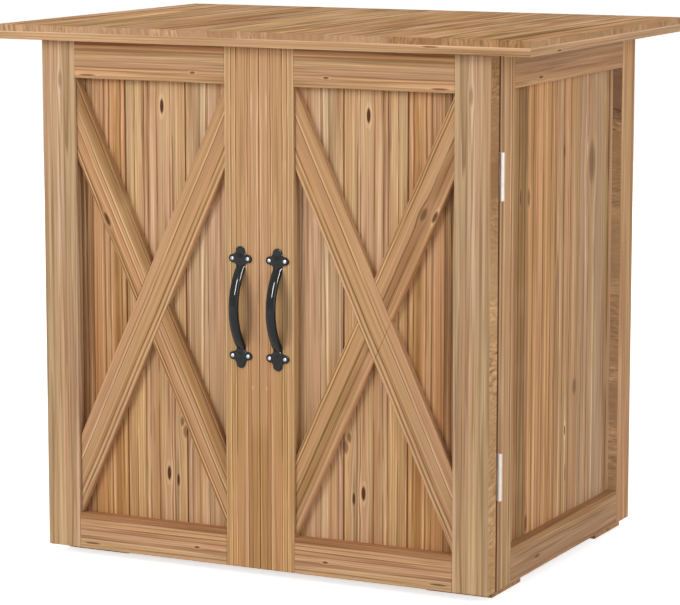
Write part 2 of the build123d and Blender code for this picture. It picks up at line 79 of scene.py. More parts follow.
def edges(node, axis):
    """Lowest and highest place of a CAD node along one axis."""
    low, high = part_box(node)
    return low[axis], high[axis]


def middle(node, axis):
    """Middle of a CAD node along one axis."""
    return sum(edges(node, axis)) / 2


# Places read from the frame
HINGES = {joint["child"].split("_")[0]: Vector(joint["pos_m"]) for joint in frame["joints"]}
DOOR_FACE = edges("right_door_inner_stile", Y)[0]
DOOR_REAR = edges("right_door_outer_stile", Y)[1]
DOOR_FLANK = edges("right_door_outer_stile", X)[1]
POST_FACE = edges("right_front_post", Y)[0]
POST_FLANK = edges("right_front_post", X)[1]
PLANK_FRONT = edges("top_planks", Y)[0]
TRIM_CREST = edges("top_trim_front", Z)[1]

# Seams of the boarded panels: place of one board's edge, and the width of a board
BOARD = 0.0937
TOP_PLANKS = 8
DOOR_SEAMS = (0.1194, BOARD)
SIDE_SEAMS = (-0.1001, BOARD)
BACK_SEAMS = (-0.2280, BOARD)
TOP_SEAMS = (0.0, (CAD_HIGH.x - CAD_LOW.x) / TOP_PLANKS)
FLOOR_SEAMS = (edges("floor_boards", X)[0], 0.1033)
SHELF_SEAMS = (edges("shelf_boards", Y)[0], 0.1041)

# Lines that the grain of the small hidden pieces is centred on
FLOOR_CLEAT_LINE = 0.04
SHELF_CLEAT_LINE = 0.35
FOOT_LINE = 0.25

# Knots as (across, along, half width, half length, darkness)
DOOR_KNOTS = (
    (0.1556, 0.6357, 0.0029, 0.0100, 1.0),
    (0.1488, 0.1290, 0.0030, 0.0100, 1.0),
    (0.1344, 0.1205, 0.0020, 0.0080, 0.9),
    (0.1222, 0.1900, 0.0036, 0.0075, 0.6),
    (0.1275, 0.2030, 0.0026, 0.0055, 0.6),
    (0.2180, 0.3000, 0.0014, 0.0060, 0.6),
)
SIDE_KNOTS = (
    (0.1312, 0.5450, 0.0095, 0.0220, 0.5),
    (0.0287, 0.5711, 0.0018, 0.0080, 0.9),
    (-0.1257, 0.5234, 0.0018, 0.0100, 0.8),
    (-0.0977, 0.5203, 0.0038, 0.0095, 0.6),
    (0.0737, 0.2358, 0.0055, 0.0090, 0.5),
    (0.0399, 0.1792, 0.0018, 0.0075, 1.0),
    (0.0430, 0.1190, 0.0014, 0.0120, 0.8),
    (-0.0977, 0.0760, 0.0034, 0.0100, 0.7),
)
RAIL_KNOTS = (
    (0.6840, 0.1000, 0.0016, 0.0036, 0.75),
    (0.6752, 0.2640, 0.0012, 0.0110, 0.75),
    (0.0320, 0.0985, 0.0016, 0.0036, 0.75),
    (0.0200, 0.2650, 0.0012, 0.0110, 0.75),
)
STILE_KNOTS = ((0.3080, 0.6675, 0.0022, 0.0090, 0.4),)
TRIM_KNOTS = {
    "long": ((0.7308, 0.2583, 0.0010, 0.0100, 0.75),),
    "short": ((0.7245, -0.1814, 0.0010, 0.0065, 0.8),),
}
SIDE_RAIL_KNOTS = (
    (0.6817, -0.0930, 0.0016, 0.0070, 0.8),
    (0.0300, -0.0894, 0.0018, 0.0080, 0.7),
)

# Stains that tint or line the wood, and painted shades, each multiplied into a colour
HONEY_WOOD = (1.02, 0.99, 0.94)
GREY_WOOD = (0.98, 1.00, 1.05)
OLIVE_WOOD = (0.98, 1.01, 0.96)
PINK_WOOD = (1.01, 0.98, 1.01)
CREAM_LINE = (1.30, 1.42, 1.58)
PALE_BAND = (1.10, 1.16, 1.18)
BROWN_LINE = (0.52, 0.42, 0.33)
OLIVE_BAND = (0.74, 0.69, 0.58)
DUSK_BAND = (0.72, 0.64, 0.55)
# Painted shade in the grooves between boards
GROOVE_SHADE = (0.50, 0.38, 0.30)
# Painted shade in the slits between the posts and the doors
SLIT_SHADE = (0.30, 0.23, 0.19)
RAIL_TOP = (0.70, 0.60, 0.52)
RAIL_FOOT = (1.06, 1.08, 1.10)
# Painted shade: the door boards darker and warmer towards their foot
LOW_BOARD_SHADE = (0.92, 0.87, 0.80)
DARK_EDGE = (0.66, 0.66, 0.69)
# Painted shade: the inner stiles darker and warmer towards their foot
LOW_STILE_SHADE = (0.97, 0.92, 0.82)
STAVE_DARK = (0.61, 0.58, 0.64)
STAVE_DULL = (0.78, 0.74, 0.71)
STAVE_WARM = (0.82, 0.76, 0.70)
STAVE_BROWN = (0.85, 0.80, 0.68)
HIGH_EDGE = (0.68, 0.63, 0.58)
SIDE_RAIL_TOP = (0.86, 0.80, 0.74)
SEAM_STILES = (0.86, 0.80, 0.72)

# Single lines that run the whole length of a piece, as (across, half width) for each stain
STILE_LINES = {
    CREAM_LINE: ((0.0022, 0.0009), (0.0190, 0.0011), (0.0362, 0.0009), (0.0437, 0.0010), (0.0503, 0.0009)),
    BROWN_LINE: ((0.0170, 0.0010), (0.0345, 0.0010), (0.0418, 0.0009)),
}
BOARD_LINES = {
    CREAM_LINE: (
        (0.0947, 0.0013), (0.1145, 0.0013), (0.1324, 0.0015), (0.1418, 0.0013), (0.1720, 0.0032),
        (0.1816, 0.0013), (0.1895, 0.0013), (0.1968, 0.0013), (0.2175, 0.0024), (0.2365, 0.0013),
        (0.2417, 0.0013), (0.2518, 0.0012), (0.2710, 0.0010), (0.2790, 0.0012),
    ),
    BROWN_LINE: (
        (0.0855, 0.0010), (0.1389, 0.0014), (0.1440, 0.0010), (0.1639, 0.0013), (0.1775, 0.0012),
        (0.1845, 0.0011), (0.1990, 0.0011), (0.2212, 0.0012), (0.2392, 0.0011), (0.2475, 0.0012),
        (0.2660, 0.0009), (0.2755, 0.0012),
    ),
    PALE_BAND: ((0.0900, 0.0055), (0.1560, 0.0045)),
    OLIVE_BAND: ((0.2285, 0.0060),),
}
SIDE_LINES = {
    CREAM_LINE: (
        (-0.0930, 0.0022), (-0.0717, 0.0026), (-0.0360, 0.0024), (-0.0100, 0.0026), (0.0168, 0.0030),
        (0.0416, 0.0024), (0.1090, 0.0030), (0.1410, 0.0045), (0.1800, 0.0028),
    ),
    BROWN_LINE: (
        (-0.1320, 0.0022), (-0.1100, 0.0024), (-0.0820, 0.0022), (-0.0470, 0.0024), (-0.0186, 0.0024),
        (-0.0010, 0.0022), (0.0275, 0.0026), (0.0520, 0.0024), (0.1195, 0.0026), (0.1960, 0.0026),
    ),
    OLIVE_BAND: ((-0.1230, 0.0270), (0.1930, 0.0100)),
}

# Lines of the front posts and the braces, measured from the middle of their width
POST_LINES = {
    CREAM_LINE: ((-0.0070, 0.0026), (0.0120, 0.0030), (0.0195, 0.0020)),
    BROWN_LINE: ((-0.0150, 0.0024), (0.0155, 0.0020)),
}
LONG_BRACE_LINES = {
    CREAM_LINE: ((0.0087, 0.0015), (-0.0143, 0.0012), (-0.0202, 0.0014)),
    BROWN_LINE: ((0.0066, 0.0009), (-0.0110, 0.0015), (-0.0175, 0.0012)),
}
RIGHT_BRACE_LINES = {
    CREAM_LINE: ((-0.0186, 0.0012), (0.0135, 0.0012), (0.0190, 0.0012)),
    BROWN_LINE: ((-0.0207, 0.0010), (-0.0165, 0.0010), (0.0000, 0.0018), (0.0095, 0.0009)),
    OLIVE_BAND: ((0.0090, 0.0120),),
}
LEFT_BRACE_LINES = {
    CREAM_LINE: ((-0.0060, 0.0012), (0.0020, 0.0012), (0.0186, 0.0012)),
    BROWN_LINE: (
        (-0.0200, 0.0016), (-0.0040, 0.0010), (0.0042, 0.0010), (0.0165, 0.0012), (0.0207, 0.0010),
    ),
    OLIVE_BAND: ((-0.0170, 0.0130),),
}

# Lean of the braces from upright
BRACE_LEAN = math.radians(25.0)

# Knots of the half braces, as (distance from the seam, height, half width, half length, darkness)
RIGHT_BRACE_KNOTS = (
    (0.2399, 0.5111, 0.0036, 0.0075, 0.60),
    (0.2560, 0.5084, 0.0024, 0.0080, 0.9),
)
LEFT_BRACE_KNOTS = (
    (0.2373, 0.4781, 0.0026, 0.0095, 0.9),
    (0.2043, 0.5061, 0.0015, 0.0060, 0.8),
)

# Pale slivers that open from a sharp tip, as (across, tip, end, half width)
STILE_SLIVERS = (
    (0.0112, 0.6080, 0.6700, 0.0030),
    (0.0397, 0.5480, 0.5780, 0.0013),
    (0.0106, 0.2580, 0.2660, 0.0022),
)
BOARD_SLIVERS = (
    (0.2290, 0.5980, 0.7400, 0.0045),
    (0.1880, 0.5450, 0.6000, 0.0020),
    (0.1880, 0.2100, 0.2900, 0.0022),
    (0.0909, 0.2515, 0.2595, 0.0024),
)
SIDE_SLIVERS = (
    (-0.0450, 0.5600, 0.7200, 0.0050),
    (0.1130, 0.5500, 0.5800, 0.0040),
    (-0.1050, 0.5300, 0.5600, 0.0030),
)

# Edges that show stave ends: their faces as (axis, sense), the axes along and across the strip,
# the shade, the tone of the darkest blocks, and the foot of the dark staves on the rear posts
TOP_STAVES = {
    "faces": ((X, 1), (Y, 1), (Y, -1)), "strip": (X, Y), "rise": Z,
    "tint": "top_edge", "tone": STAVE_WARM, "contrast": 0.85,
}
POST_STAVES = {
    "faces": ((Y, -1),), "strip": (Z,), "rise": X,
    "tint": "rear_edge", "tone": STAVE_DULL, "contrast": 0.85, "dark_above": 0.599,
}
DOOR_STAVES = {
    "faces": ((X, 1),), "strip": (Z,), "rise": Y,
    "tint": "door_edge", "tone": STAVE_DULL, "contrast": 0.75,
}

# Depth and width of the painted shade in the slits between the posts and the doors, the depth of a
# face's skin, and the trim's pale top edge, each from where the stain or shade starts to where it is full
SLIT_DEPTH = (0.0022, 0.0012)
SLIT_WIDTH = (0.0030, 0.0015)
SKIN = (0.0008, 0.0003)
TRIM_EDGE = (0.0020, 0.0008)

# From a level member's top edge to the start and the end of its dark band, and the height of its pale foot
CREST_BAND = (0.009, 0.005)
FOOT_BAND = 0.022


def inside_of(place, inwards, depths):
    """Two places at the given depths inside a face."""
    return [place + inwards * depth for depth in depths]


def slit_shade_tone(place, inwards, flank):
    """Painted shade on the faces of the slit between a post and a door, near its outer flank."""
    return (Y, *inside_of(place, inwards, SLIT_DEPTH), SLIT_SHADE, X, *inside_of(flank, -1, SLIT_WIDTH))


def rail_tones(node, crest_tone):
    """Tones of a level frame member: dark along its top edge and paler towards its foot."""
    foot, crest = edges(node, Z)
    return ((Z, *inside_of(crest, -1, CREST_BAND), crest_tone), (Z, foot + FOOT_BAND, foot, RAIL_FOOT))


# Stains and painted shades that come in slowly, as (axis, start, end, stain or shade), some bound by
# a second axis, start and end
# The posts and the outer stiles carry painted shade by the slit between them
POST_TONES = (slit_shade_tone(POST_FACE, 1, POST_FLANK),)
OUTER_STILE_TONES = (
    slit_shade_tone(DOOR_REAR, -1, DOOR_FLANK),
    (Z, 0.36, 0.58, HIGH_EDGE, X, *inside_of(DOOR_FLANK, -1, SKIN)),
)
# The inner stiles' tones hold painted shade towards their foot
INNER_STILE_TONES = (
    (Z, 0.42, 0.20, LOW_STILE_SHADE),
    (Z, 0.23, 0.18, SEAM_STILES, X, 0.0175, 0.0140),
)
# The door boards' tones hold painted shade towards their foot
BOARD_TONES = (
    (Z, 0.46, 0.26, LOW_BOARD_SHADE),
    (X, 0.2642, 0.2654, DARK_EDGE),
)
TRIM_TONES = ((Z, *inside_of(TRIM_CREST, -1, TRIM_EDGE), CREAM_LINE),)
PLANK_TONES = ((X, 0.196, 0.206, STAVE_BROWN, Y, *inside_of(PLANK_FRONT, 1, SKIN)),)

# Streaks: the step from one lot, a pattern of its own, to the next, and the depth of a streak in widths
LOT_STEP = (1.7, 2.3, 0.9)
STREAK_DEPTH = 2

# Streaks of the fir as (width, length, detail, lot)
STREAKS = {
    "slow_waver": (0.05, 0.50, 1.0, 0),
    "warm": (0.030, 0.90, 1.0, 1),
    "rosy": (0.018, 0.60, 1.0, 2),
    "band": (0.008, 0.50, 1.0, 3),
    "fine": (0.0024, 0.28, 2.0, 4),
    "hair": (0.0009, 0.07, 2.0, 5),
    "quick_waver": (0.006, 0.06, 1.0, 6),
    "fade": (0.008, 0.25, 1.0, 7),
    "loose_cream": (0.0055, 0.35, 1.0, 8),
    "loose_brown": (0.0050, 0.30, 1.0, 9),
    "hairline": (0.0024, 0.16, 1.0, 10),
    "dusk": (0.020, 0.45, 1.0, 11),
}

# Masks cut from those streaks, as (start, end, least, most)
MASKS = {
    "fade": (0.32, 0.56, 0.2, 1.0),
    "loose_brown": (0.57, 0.66, 0.0, 0.65),
    "hairline": (0.55, 0.66, 0.0, 0.40),
    "loose_cream": (0.56, 0.65, 0.0, 0.60),
    "warm": (0.36, 0.64, 0.0, 1.0),
    "rosy": (0.38, 0.64, 0.0, 1.0),
    "dusk": (0.58, 0.68, 0.0, 0.55),
}

# How much the streaks lighten and darken the wood, and its roughness and height
SWINGS = {"band": 0.40, "fine": 0.70, "hair": 0.40}
ROUGH_SWING = 0.25
LINE_GLOSS = 0.08
RELIEF_SHARE = 0.6
RELIEF_STRENGTH = 0.5

# Step in the log from one seed to the next, and steps of the seed from board to board and ring to ring
SEED_STEP = (3.1, 5.7, 1.3)
BOARD_SEED = 3.7
RING_SEED = 13.0

# Pith of a log: how far it may lie aside and lean, its least depth behind the face and what luck adds
PITH_ASIDE = 0.06
PITH_LEAN = 0.024
PITH_NEAR = 0.004
PITH_FURTHER = 0.010

# Depth at which the grain through a piece turns back, and the share of the depth that counts
DEPTH_FOLD = 0.04
DEPTH_SHARE = 0.3

# Growth rings: their quick waver as a share of the slow one, their unevenness, the parts of a ring's
# turn, from 0 to 1, where brown wood comes in and ends and cream wood fades, and the luck of each line
QUICK_SHARE = 0.15
RING_SCALE = 40.0
RING_UNEVEN = 1.8
BROWN_RISE = (0.60, 0.94)
BROWN_END = (0.96, 1.0)
CREAM_FADE = (0.32, 0.0)
BROWN_LUCK = (0.20, 1.0)
CREAM_LUCK = (0.25, 1.0)

# Stave ends: length and unevenness of the blocks, slant of the ticks, widths and lengths of the
# ticks and hairs, how strongly each shows, and how luck shares out tones and ticks
BLOCK_LENGTH = 0.042
BLOCK_SCALE = 16.0
BLOCK_UNEVEN = 2.4
BLOCK_APART = 0.01
TICK_SLANT = 0.5
TICKS = (0.0034, 0.016)
HAIRS = (0.0012, 0.012)
TICK_SWING = 2.4
HAIR_SWING = 0.8
TONE_POWER = 0.7
TICK_POWER = 1.6
TICK_LEAST = 0.12

# How squarely a face has to look along its axis to show stave ends
EDGE_FACING = 0.8

# Knots: bend of the grain, softness of the heart's brink, the pale rim, and its share of cream
BEND_BASE = 0.82
BEND_SHARE = 0.85
BRINK_SOFT = 3.0
BRINK_HARD = 1.3
HEART_SHARE = 0.5
RIM_RISE = (1.0, 1.7)
RIM_FALL = (2.0, 4.5)
RIM_DARKNESS = (0.55, 1.0)
RIM_SHARE = 0.5

# Labels of the numbers that describe a knot, in their order
KNOT_SIZES = ("Centre Across", "Centre Along", "Half Width", "Half Length", "Dark")

# Drawn lines and slivers: waver, full core, and where they fade
LINE_SCALE = 6.0
LINE_WAVER = 0.004
LINE_CORE = 0.3
FADE_SCALE = 9.0
FADE_STEP = 7.0
LINE_FADE = (0.25, 0.55, 0.3, 1.0)
SLIVER_LEAST = 0.00001
SLIVER_CORE = (1.0, 0.4)
SLIVER_FADE = (1.0, 0.6, 0.0, 0.9)

# From a board's edge to where the painted shade in its groove starts and is full
GROOVE = (0.0016, 0.0007)

# Plating: its drawn texture and clouds as (width, length, detail), their effect, and the leaves' edge
DRAWN = (0.0008, 0.02, 3.0)
CLOUDS = (0.012, 0.02, 2.0)
DRAWN_ROUGH = 0.12
PLATE_RELIEF = 0.00003
PLATE_BUMP = 0.3
LEAF_EDGE = 0.0004

# Black paint: orange peel and clouds as (scale, detail), and what they do to colour, gloss and surface
PEEL = (700.0, 3.0)
PAINT_CLOUDS = (90.0, 2.0)
PAINT_LEAST = 0.75
PAINT_SWING = 0.5
PAINT_ROUGHNESS = (0.3, 0.7, 0.08, 0.13)
PAINT_SPECULAR = 0.25
PEEL_RELIEF = 0.00006
PEEL_BUMP = 0.12

# Modelled pieces: counts of rings and columns, the power of the bar's oval, how close points are
# merged, and the angle from which an edge stays sharp
PLATE_COLUMNS = 96
ROLL_RINGS = 6
CROWN_RINGS = 12
BAR_COLUMNS = 40
BAR_RINGS = 65
OVAL_POWER = 2.3
SCREW_COLUMNS = 40
HEAD_RINGS = 14
MERGE_DISTANCE = 1e-7
SHARP_ANGLE = math.radians(40)

# Shares of a plate's rim for its innermost ring and for the start of its crown
PLATE_HUB = 0.05
CROWN_START = 0.9

# How far the bar's flat-cut ends stay off the door
BAR_CUT = 0.0001

# Screws: shares of the head's radius for the cross recess, shares of its height for recess and dome,
# the innermost ring, the point, and where the shank starts to taper
RECESS_ARM = 0.62
RECESS_HALF = 0.14
RECESS_SOFT = 0.06
RECESS_DEPTH = 0.45
DOME_DROP = 0.55
DOME_POWER = 2.6
HEAD_HUB = 0.04
POINT_SHARE = 0.05
TAPER_START = 0.6

# Turn of the first screw's recess, and what each column, row or next screw adds, in radians
RECESS_TURN = 0.5
COLUMN_TURN = 0.9
ROW_TURN = 0.4
HINGE_TURN = 0.7

# Lamps as (name, width, place), and the lamps that only gloss shows
LAMPS = (
    ("key", 2.2, (-2.2, -3.90, 2.4)),
    ("fill", 3.0, (4.2, -1.2, 1.5)),
    ("back", 3.0, (-1.5, 4.2, 2.0)),
)
GLINTS = (
    ("front_glint", (-0.16, -3.64, 2.57)),
    ("right_glint", (2.98, -0.88, 2.97)),
)
GLINT_WIDTH = 0.3

# The camera's sensor, in millimetres, and the floor's roughness
SENSOR_WIDTH = 36
FLOOR_ROUGHNESS = 0.9


def srgb(red, green, blue):
    """Linear colour of a shade given as it looks on a screen, from 0 to 255."""
    screen = np.array([red, green, blue]) / 255
    return tuple(np.where(screen <= 0.04045, screen / 12.92, ((screen + 0.055) / 1.055) ** 2.4))


def shade(name, description, default):
    """A colour property with a screen shade as its default."""
    return FloatVectorProperty(
        name=name, description=description, subtype="COLOR", size=3, min=0, max=1, default=srgb(*default)
    )


def length(name, description, default):
    """A length property in metres."""
    return FloatProperty(
        name=name, description=description, default=default, min=0, unit="LENGTH", precision=4
    )


def share(name, description, default):
    """A property from 0 to 1."""
    return FloatProperty(
        name=name, description=description, default=default, min=0, max=1, subtype="FACTOR"
    )


def power(name, description, default):
    """A lamp's power in watts."""
    return FloatProperty(name=name, description=description, default=default, subtype="POWER")


def angle(name, description, degrees):
    """An angle property, its default given in degrees."""
    return FloatProperty(name=name, description=description, default=math.radians(degrees), subtype="ANGLE")


class WoodFinish(bpy.types.PropertyGroup):
    """Shades of the stained fir, and the size of its grain."""

    stile: shade("Outer Stiles", "Greyer fir of the doors' outer stiles", (190, 155, 119))
    centre: shade("Inner Stiles", "Honey fir of the two stiles at the seam", (194, 153, 112))
    rail: shade("Rails", "Fir of the doors' level members", (193, 151, 110))
    brace: shade("Braces", "Fir of the slanting braces", (191, 148, 106))
    board_inner: shade("Board By The Seam", "Greyish board next to the inner stile", (201, 162, 125))
    board_middle: shade("Middle Board", "Cream and olive board", (197, 158, 117))
    board_outer: shade("Outer Board", "Orange board next to the outer stile", (192, 146, 102))
    side_front: shade("Front Side Board", "Olive board at the front of the sides", (178, 138, 98))
    side_second: shade("Second Side Board", "Orange board of the sides", (199, 150, 104))
    side: shade("Side Boards", "Fir of the middle side board and the back", (197, 153, 110))
    side_rear: shade("Rear Side Board", "Greyish board at the rear of the sides", (188, 152, 117))
    side_rail: shade("Side Rails", "Redder fir of the sides' level members", (181, 140, 104))
    post: shade("Front Posts", "Fir of the front posts", (188, 147, 105))
    rear_post: shade("Rear Posts", "Orange fir of the rear posts", (201, 155, 110))
    door_edge: shade("Door Edges", "Fir of the doors' outer edges", (203, 160, 113))
    rear_edge: shade("Rear Edges", "Dull fir of the rear posts' inner edges", (207, 172, 133))
    top: shade("Top", "Fir of the top planks", (210, 166, 123))
    top_edge: shade("Top Edges", "Fir of the planks' ends and sides", (189, 150, 113))
    trim: shade("Top Trim", "Fir of the frame under the top planks", (194, 154, 116))
    inside: shade("Inside", "Planed fir of floor, shelf and cleats", (203, 165, 124))
    foot: shade("Feet", "Fir of the pads", (186, 146, 106))
    knot: shade("Knots", "Heart of a knot", (84, 48, 30))
    ring_width: length("Ring Width", "Mean spacing of the growth rings", 0.0060)
    waver: length("Waver", "How far the rings wander along a board", 0.006)
    contrast: share("Grain Contrast", "How strong the cream and brown lines are", 0.85)
    roughness: share("Roughness", "Roughness of the satin stain", 0.66)
    sheen: share("Sheen", "Specular level of the satin stain", 0.08)
    relief: length("Relief", "Depth of the grain on the surface", 0.0002)


class MetalFinish(bpy.types.PropertyGroup):
    """Shades of the pulls, screws, hinges and catches."""

    black: shade("Black Paint", "Paint of the pulls", (26, 27, 28))
    zinc: shade("Zinc", "Bright plating of the hinge barrels", (214, 205, 196))
    leaf: shade("Leaves", "Duller plating of the hinge leaves", (150, 152, 154))
    steel: shade("Screws", "Bright steel of the screws", (180, 182, 186))
    plastic: shade("Catch", "Moulded housing of the catches", (222, 219, 212))


class PullForm(bpy.types.PropertyGroup):
    """Sizes of the arched pulls and their screws."""

    bar_width: length("Bar Width", "Width of the arched bar", 0.014)
    bar_depth: length("Bar Depth", "Depth of the arched bar, front to back", 0.0095)
    bar_lap: length("Bar Lap", "How far the bar's ends run into the plates' rims", 0.0006)
    bar_sink: length("Bar Sink", "How far the bar's ends lie below the plates' faces", 0.0014)
    plate_thickness: length("Plate Thickness", "Thickness of the trefoil plates", 0.0024)
    plate_edge: length("Plate Edge", "Rounding along the rim of a plate", 0.0010)
    plate_blend: length("Plate Blend", "Softness of the inner corners between the lobes", 0.0011)
    crown_height: length("Crown Height", "Rise of a plate's middle above its face", 0.0006)
    crown_radius: length("Crown Radius", "How far that rise spreads", 0.005)
    body_radius: length("Body Radius", "Radius of a plate's body", 0.0104)
    tip_radius: length("Tip Radius", "Radius of a plate's tip lobe", 0.0066)
    tip_reach: length("Tip Reach", "From the screw line to the end of the tip", 0.0168)
    ear_radius: length("Ear Radius", "Radius of the lobes that take the screws", 0.0055)
    screw_spacing: length("Screw Spacing", "Between the two screws of a plate", 0.0234)
    head_radius: length("Head Radius", "Radius of a pan head", 0.0025)
    head_height: length("Head Height", "Height of a pan head", 0.0016)
    shank_radius: length("Shank Radius", "Radius of a screw's shank", 0.0016)


class HingeForm(bpy.types.PropertyGroup):
    """Sizes of the hinge screws."""

    screw_inset: length("Screw Inset", "From the pin's axis to the screws", 0.015)
    screw_pitch: length("Screw Pitch", "Between the screws of a leaf", 0.036)
    seat_radius: length("Seat Radius", "Radius of a screw's place in its leaf", 0.0028)
    head_radius: length("Head Radius", "Radius of a countersunk head", 0.00262)
    head_depth: length("Head Depth", "Depth of a countersunk head", 0.0012)
    shank_radius: length("Shank Radius", "Radius of a screw's shank", 0.0015)


class StageSetup(bpy.types.PropertyGroup):
    """Camera, lamps and floor."""

    camera_place: FloatVectorProperty(
        name="Camera", description="Place of the camera", subtype="TRANSLATION", size=3,
        default=(1.831, -3.723, 0.9968)
    )
    camera_yaw: angle("Yaw", "Turn of the camera to the left", 26.276)
    camera_pitch: angle("Pitch", "Tilt of the camera below level", 8.960)
    lens: FloatProperty(name="Lens", description="Focal length", subtype="DISTANCE_CAMERA", default=156.57)
    key: power("Key", "Power of the high front lamp", 118)
    fill: power("Fill", "Power of the lamp at the right", 68)
    back: power("Back", "Power of the lamp behind", 95)
    glint: power("Glints", "Power of the gloss-only lamps", 260)
    glint_height: length("Glint Height", "Height of the lamps that only gloss shows", 2.0)
    sky: share("Sky", "Strength of the even light", 0.40)
    floor: shade("Floor", "Colour of the floor", (231, 231, 231))
    floor_reach: length("Floor Reach", "Half the floor's width", 40.0)
    floor_glow: share("Floor Lift", "White that the camera sees on the floor", 0.72)


class Wire:
    """An output of a node that takes part in sums; each sum adds one node."""

    def __init__(self, tree, socket):
        self.tree = tree
        self.socket = socket

    def __add__(self, other):
        return self.tree.math("ADD", self, other)

    def __radd__(self, other):
        return self.tree.math("ADD", other, self)

    def __sub__(self, other):
        return self.tree.math("SUBTRACT", self, other)

    def __rsub__(self, other):
        return self.tree.math("SUBTRACT", other, self)

    def __mul__(self, other):
        return self.tree.math("MULTIPLY", self, other)

    def __truediv__(self, other):
        return self.tree.math("DIVIDE", self, other)

    def __pow__(self, other):
        return self.tree.math("POWER", self, other)

    def __rpow__(self, other):
        return self.tree.math("POWER", other, self)

    def __abs__(self):
        return self.tree.math("ABSOLUTE", self)


class Tree:
    """Adds nodes to a node tree and wires them, one short call each."""

    def __init__(self, tree):
        self.nodes = tree.nodes
        self.links = tree.links

    def add(self, kind, inputs=(), **settings):
        """A node with its settings, and each input either wired or set."""
        node = self.nodes.new(kind)
        for name, value in settings.items():
            setattr(node, name, value)
        for key, value in dict(inputs).items():
            self.put(node.inputs[key], value)
        return node

    def put(self, socket, value):
        """Wires an output into an input, or sets the input; a colour's three parts are made opaque."""
        if isinstance(value, Wire):
            self.links.new(value.socket, socket)
        elif socket.type == "RGBA":
            socket.default_value = (*value, 1.0)
        else:
            socket.default_value = value

    def outs(self, kind, inputs=(), **settings):
        """The outputs of a new node, by name."""
        return {output.name: Wire(self, output) for output in self.add(kind, inputs, **settings).outputs}

    def out(self, kind, inputs, key=0, **settings):
        """One output of a new node."""
        return Wire(self, self.add(kind, inputs, **settings).outputs[key])

    def group(self, name, inputs):
        """The outputs of a shared node group, by name."""
        return self.outs("ShaderNodeGroup", inputs, node_tree=shared_group(name))

    def math(self, operation, first, second=0.0, clamp=False):
        """One sum on numbers."""
        return self.out("ShaderNodeMath", {0: first, 1: second}, operation=operation, use_clamp=clamp)

    def larger(self, first, second):
        """The larger of two numbers."""
        return self.math("MAXIMUM", first, second)

    def above(self, value, limit):
        """1 where a number is above a limit, otherwise 0."""
        return self.math("GREATER_THAN", value, limit)

    def vector(self, operation, first, second):
        """One sum on vectors; SCALE takes a number as its second part."""
        inputs = {0: first, ("Scale" if operation == "SCALE" else 1): second}
        return self.out("ShaderNodeVectorMath", inputs, operation=operation)

    def split(self, vector):
        """The three parts of a vector."""
        return list(self.outs("ShaderNodeSeparateXYZ", {0: vector}).values())

    def join(self, across, through, along):
        """A vector from three parts."""
        return self.out("ShaderNodeCombineXYZ", {0: across, 1: through, 2: along})

    def ramp(self, value, start, end, low=0.0, high=1.0):
        """Smooth step of a value from low at start to high at end."""
        inputs = {"Value": value, "From Min": start, "From Max": end, "To Min": low, "To Max": high}
        return self.out("ShaderNodeMapRange", inputs, interpolation_type="SMOOTHSTEP")

    def mix(self, factor, first, second, blend="MIX"):
        """Two colours mixed by a factor."""
        inputs = {0: factor, 6: first, 7: second}
        return self.out("ShaderNodeMix", inputs, 2, data_type="RGBA", blend_type=blend)

    def stain(self, colour, factor, stain):
        """A colour darkened or tinted by a stain or a painted shade, as far as the factor says."""
        return self.mix(factor, colour, stain, "MULTIPLY")

    def gain(self, colour, value):
        """A colour made lighter or darker by a number."""
        return self.stain(colour, 1.0, self.join(value, value, value))

    def chance(self, value):
        """Three random parts for a number, the same each time."""
        return self.split(self.out("ShaderNodeTexWhiteNoise", {"W": value}, "Color", noise_dimensions="1D"))

    def noise(self, place, scale, detail):
        """Noise about 0.5 in space."""
        return self.out("ShaderNodeTexNoise", {"Vector": place, "Scale": scale, "Detail": detail})

    def wander(self, value, scale, detail=2.0):
        """Noise about 0.5 along a line."""
        inputs = {"W": value, "Scale": scale, "Detail": detail}
        return self.out("ShaderNodeTexNoise", inputs, noise_dimensions="1D")

    def streaks(self, place, across, along, detail=1.0, lot=0):
        """Noise about 0.5 in streaks of the given width and length; each lot is a new pattern."""
        moved = self.vector("ADD", place, [lot * step for step in LOT_STEP])
        scaled = self.vector("MULTIPLY", moved, (1 / across, 1 / (STREAK_DEPTH * across), 1 / along))
        return self.noise(scaled, 1.0, detail)

    def swing(self, value, amount):
        """A noise about 0.5 turned into a swing about 0."""
        return (value - 0.5) * amount

    def seen(self, *kinds):
        """1 for rays of the given kinds, otherwise 0."""
        rays = self.outs("ShaderNodeLightPath")
        found = 0.0
        for kind in kinds:
            found = self.larger(found, rays["Is " + kind + " Ray"])
        return found


def node_group(name, inputs, outputs):
    """An empty node group with named sockets; returns it, its tree, its inputs and its output sockets."""
    group = bpy.data.node_groups.new(name, "ShaderNodeTree")
    for direction, sockets in (("INPUT", inputs), ("OUTPUT", outputs)):
        for label, kind in sockets.items():
            group.interface.new_socket(label, in_out=direction, socket_type="NodeSocket" + kind)
    tree = Tree(group)
    return group, tree, tree.outs("NodeGroupInput"), tree.add("NodeGroupOutput").inputs


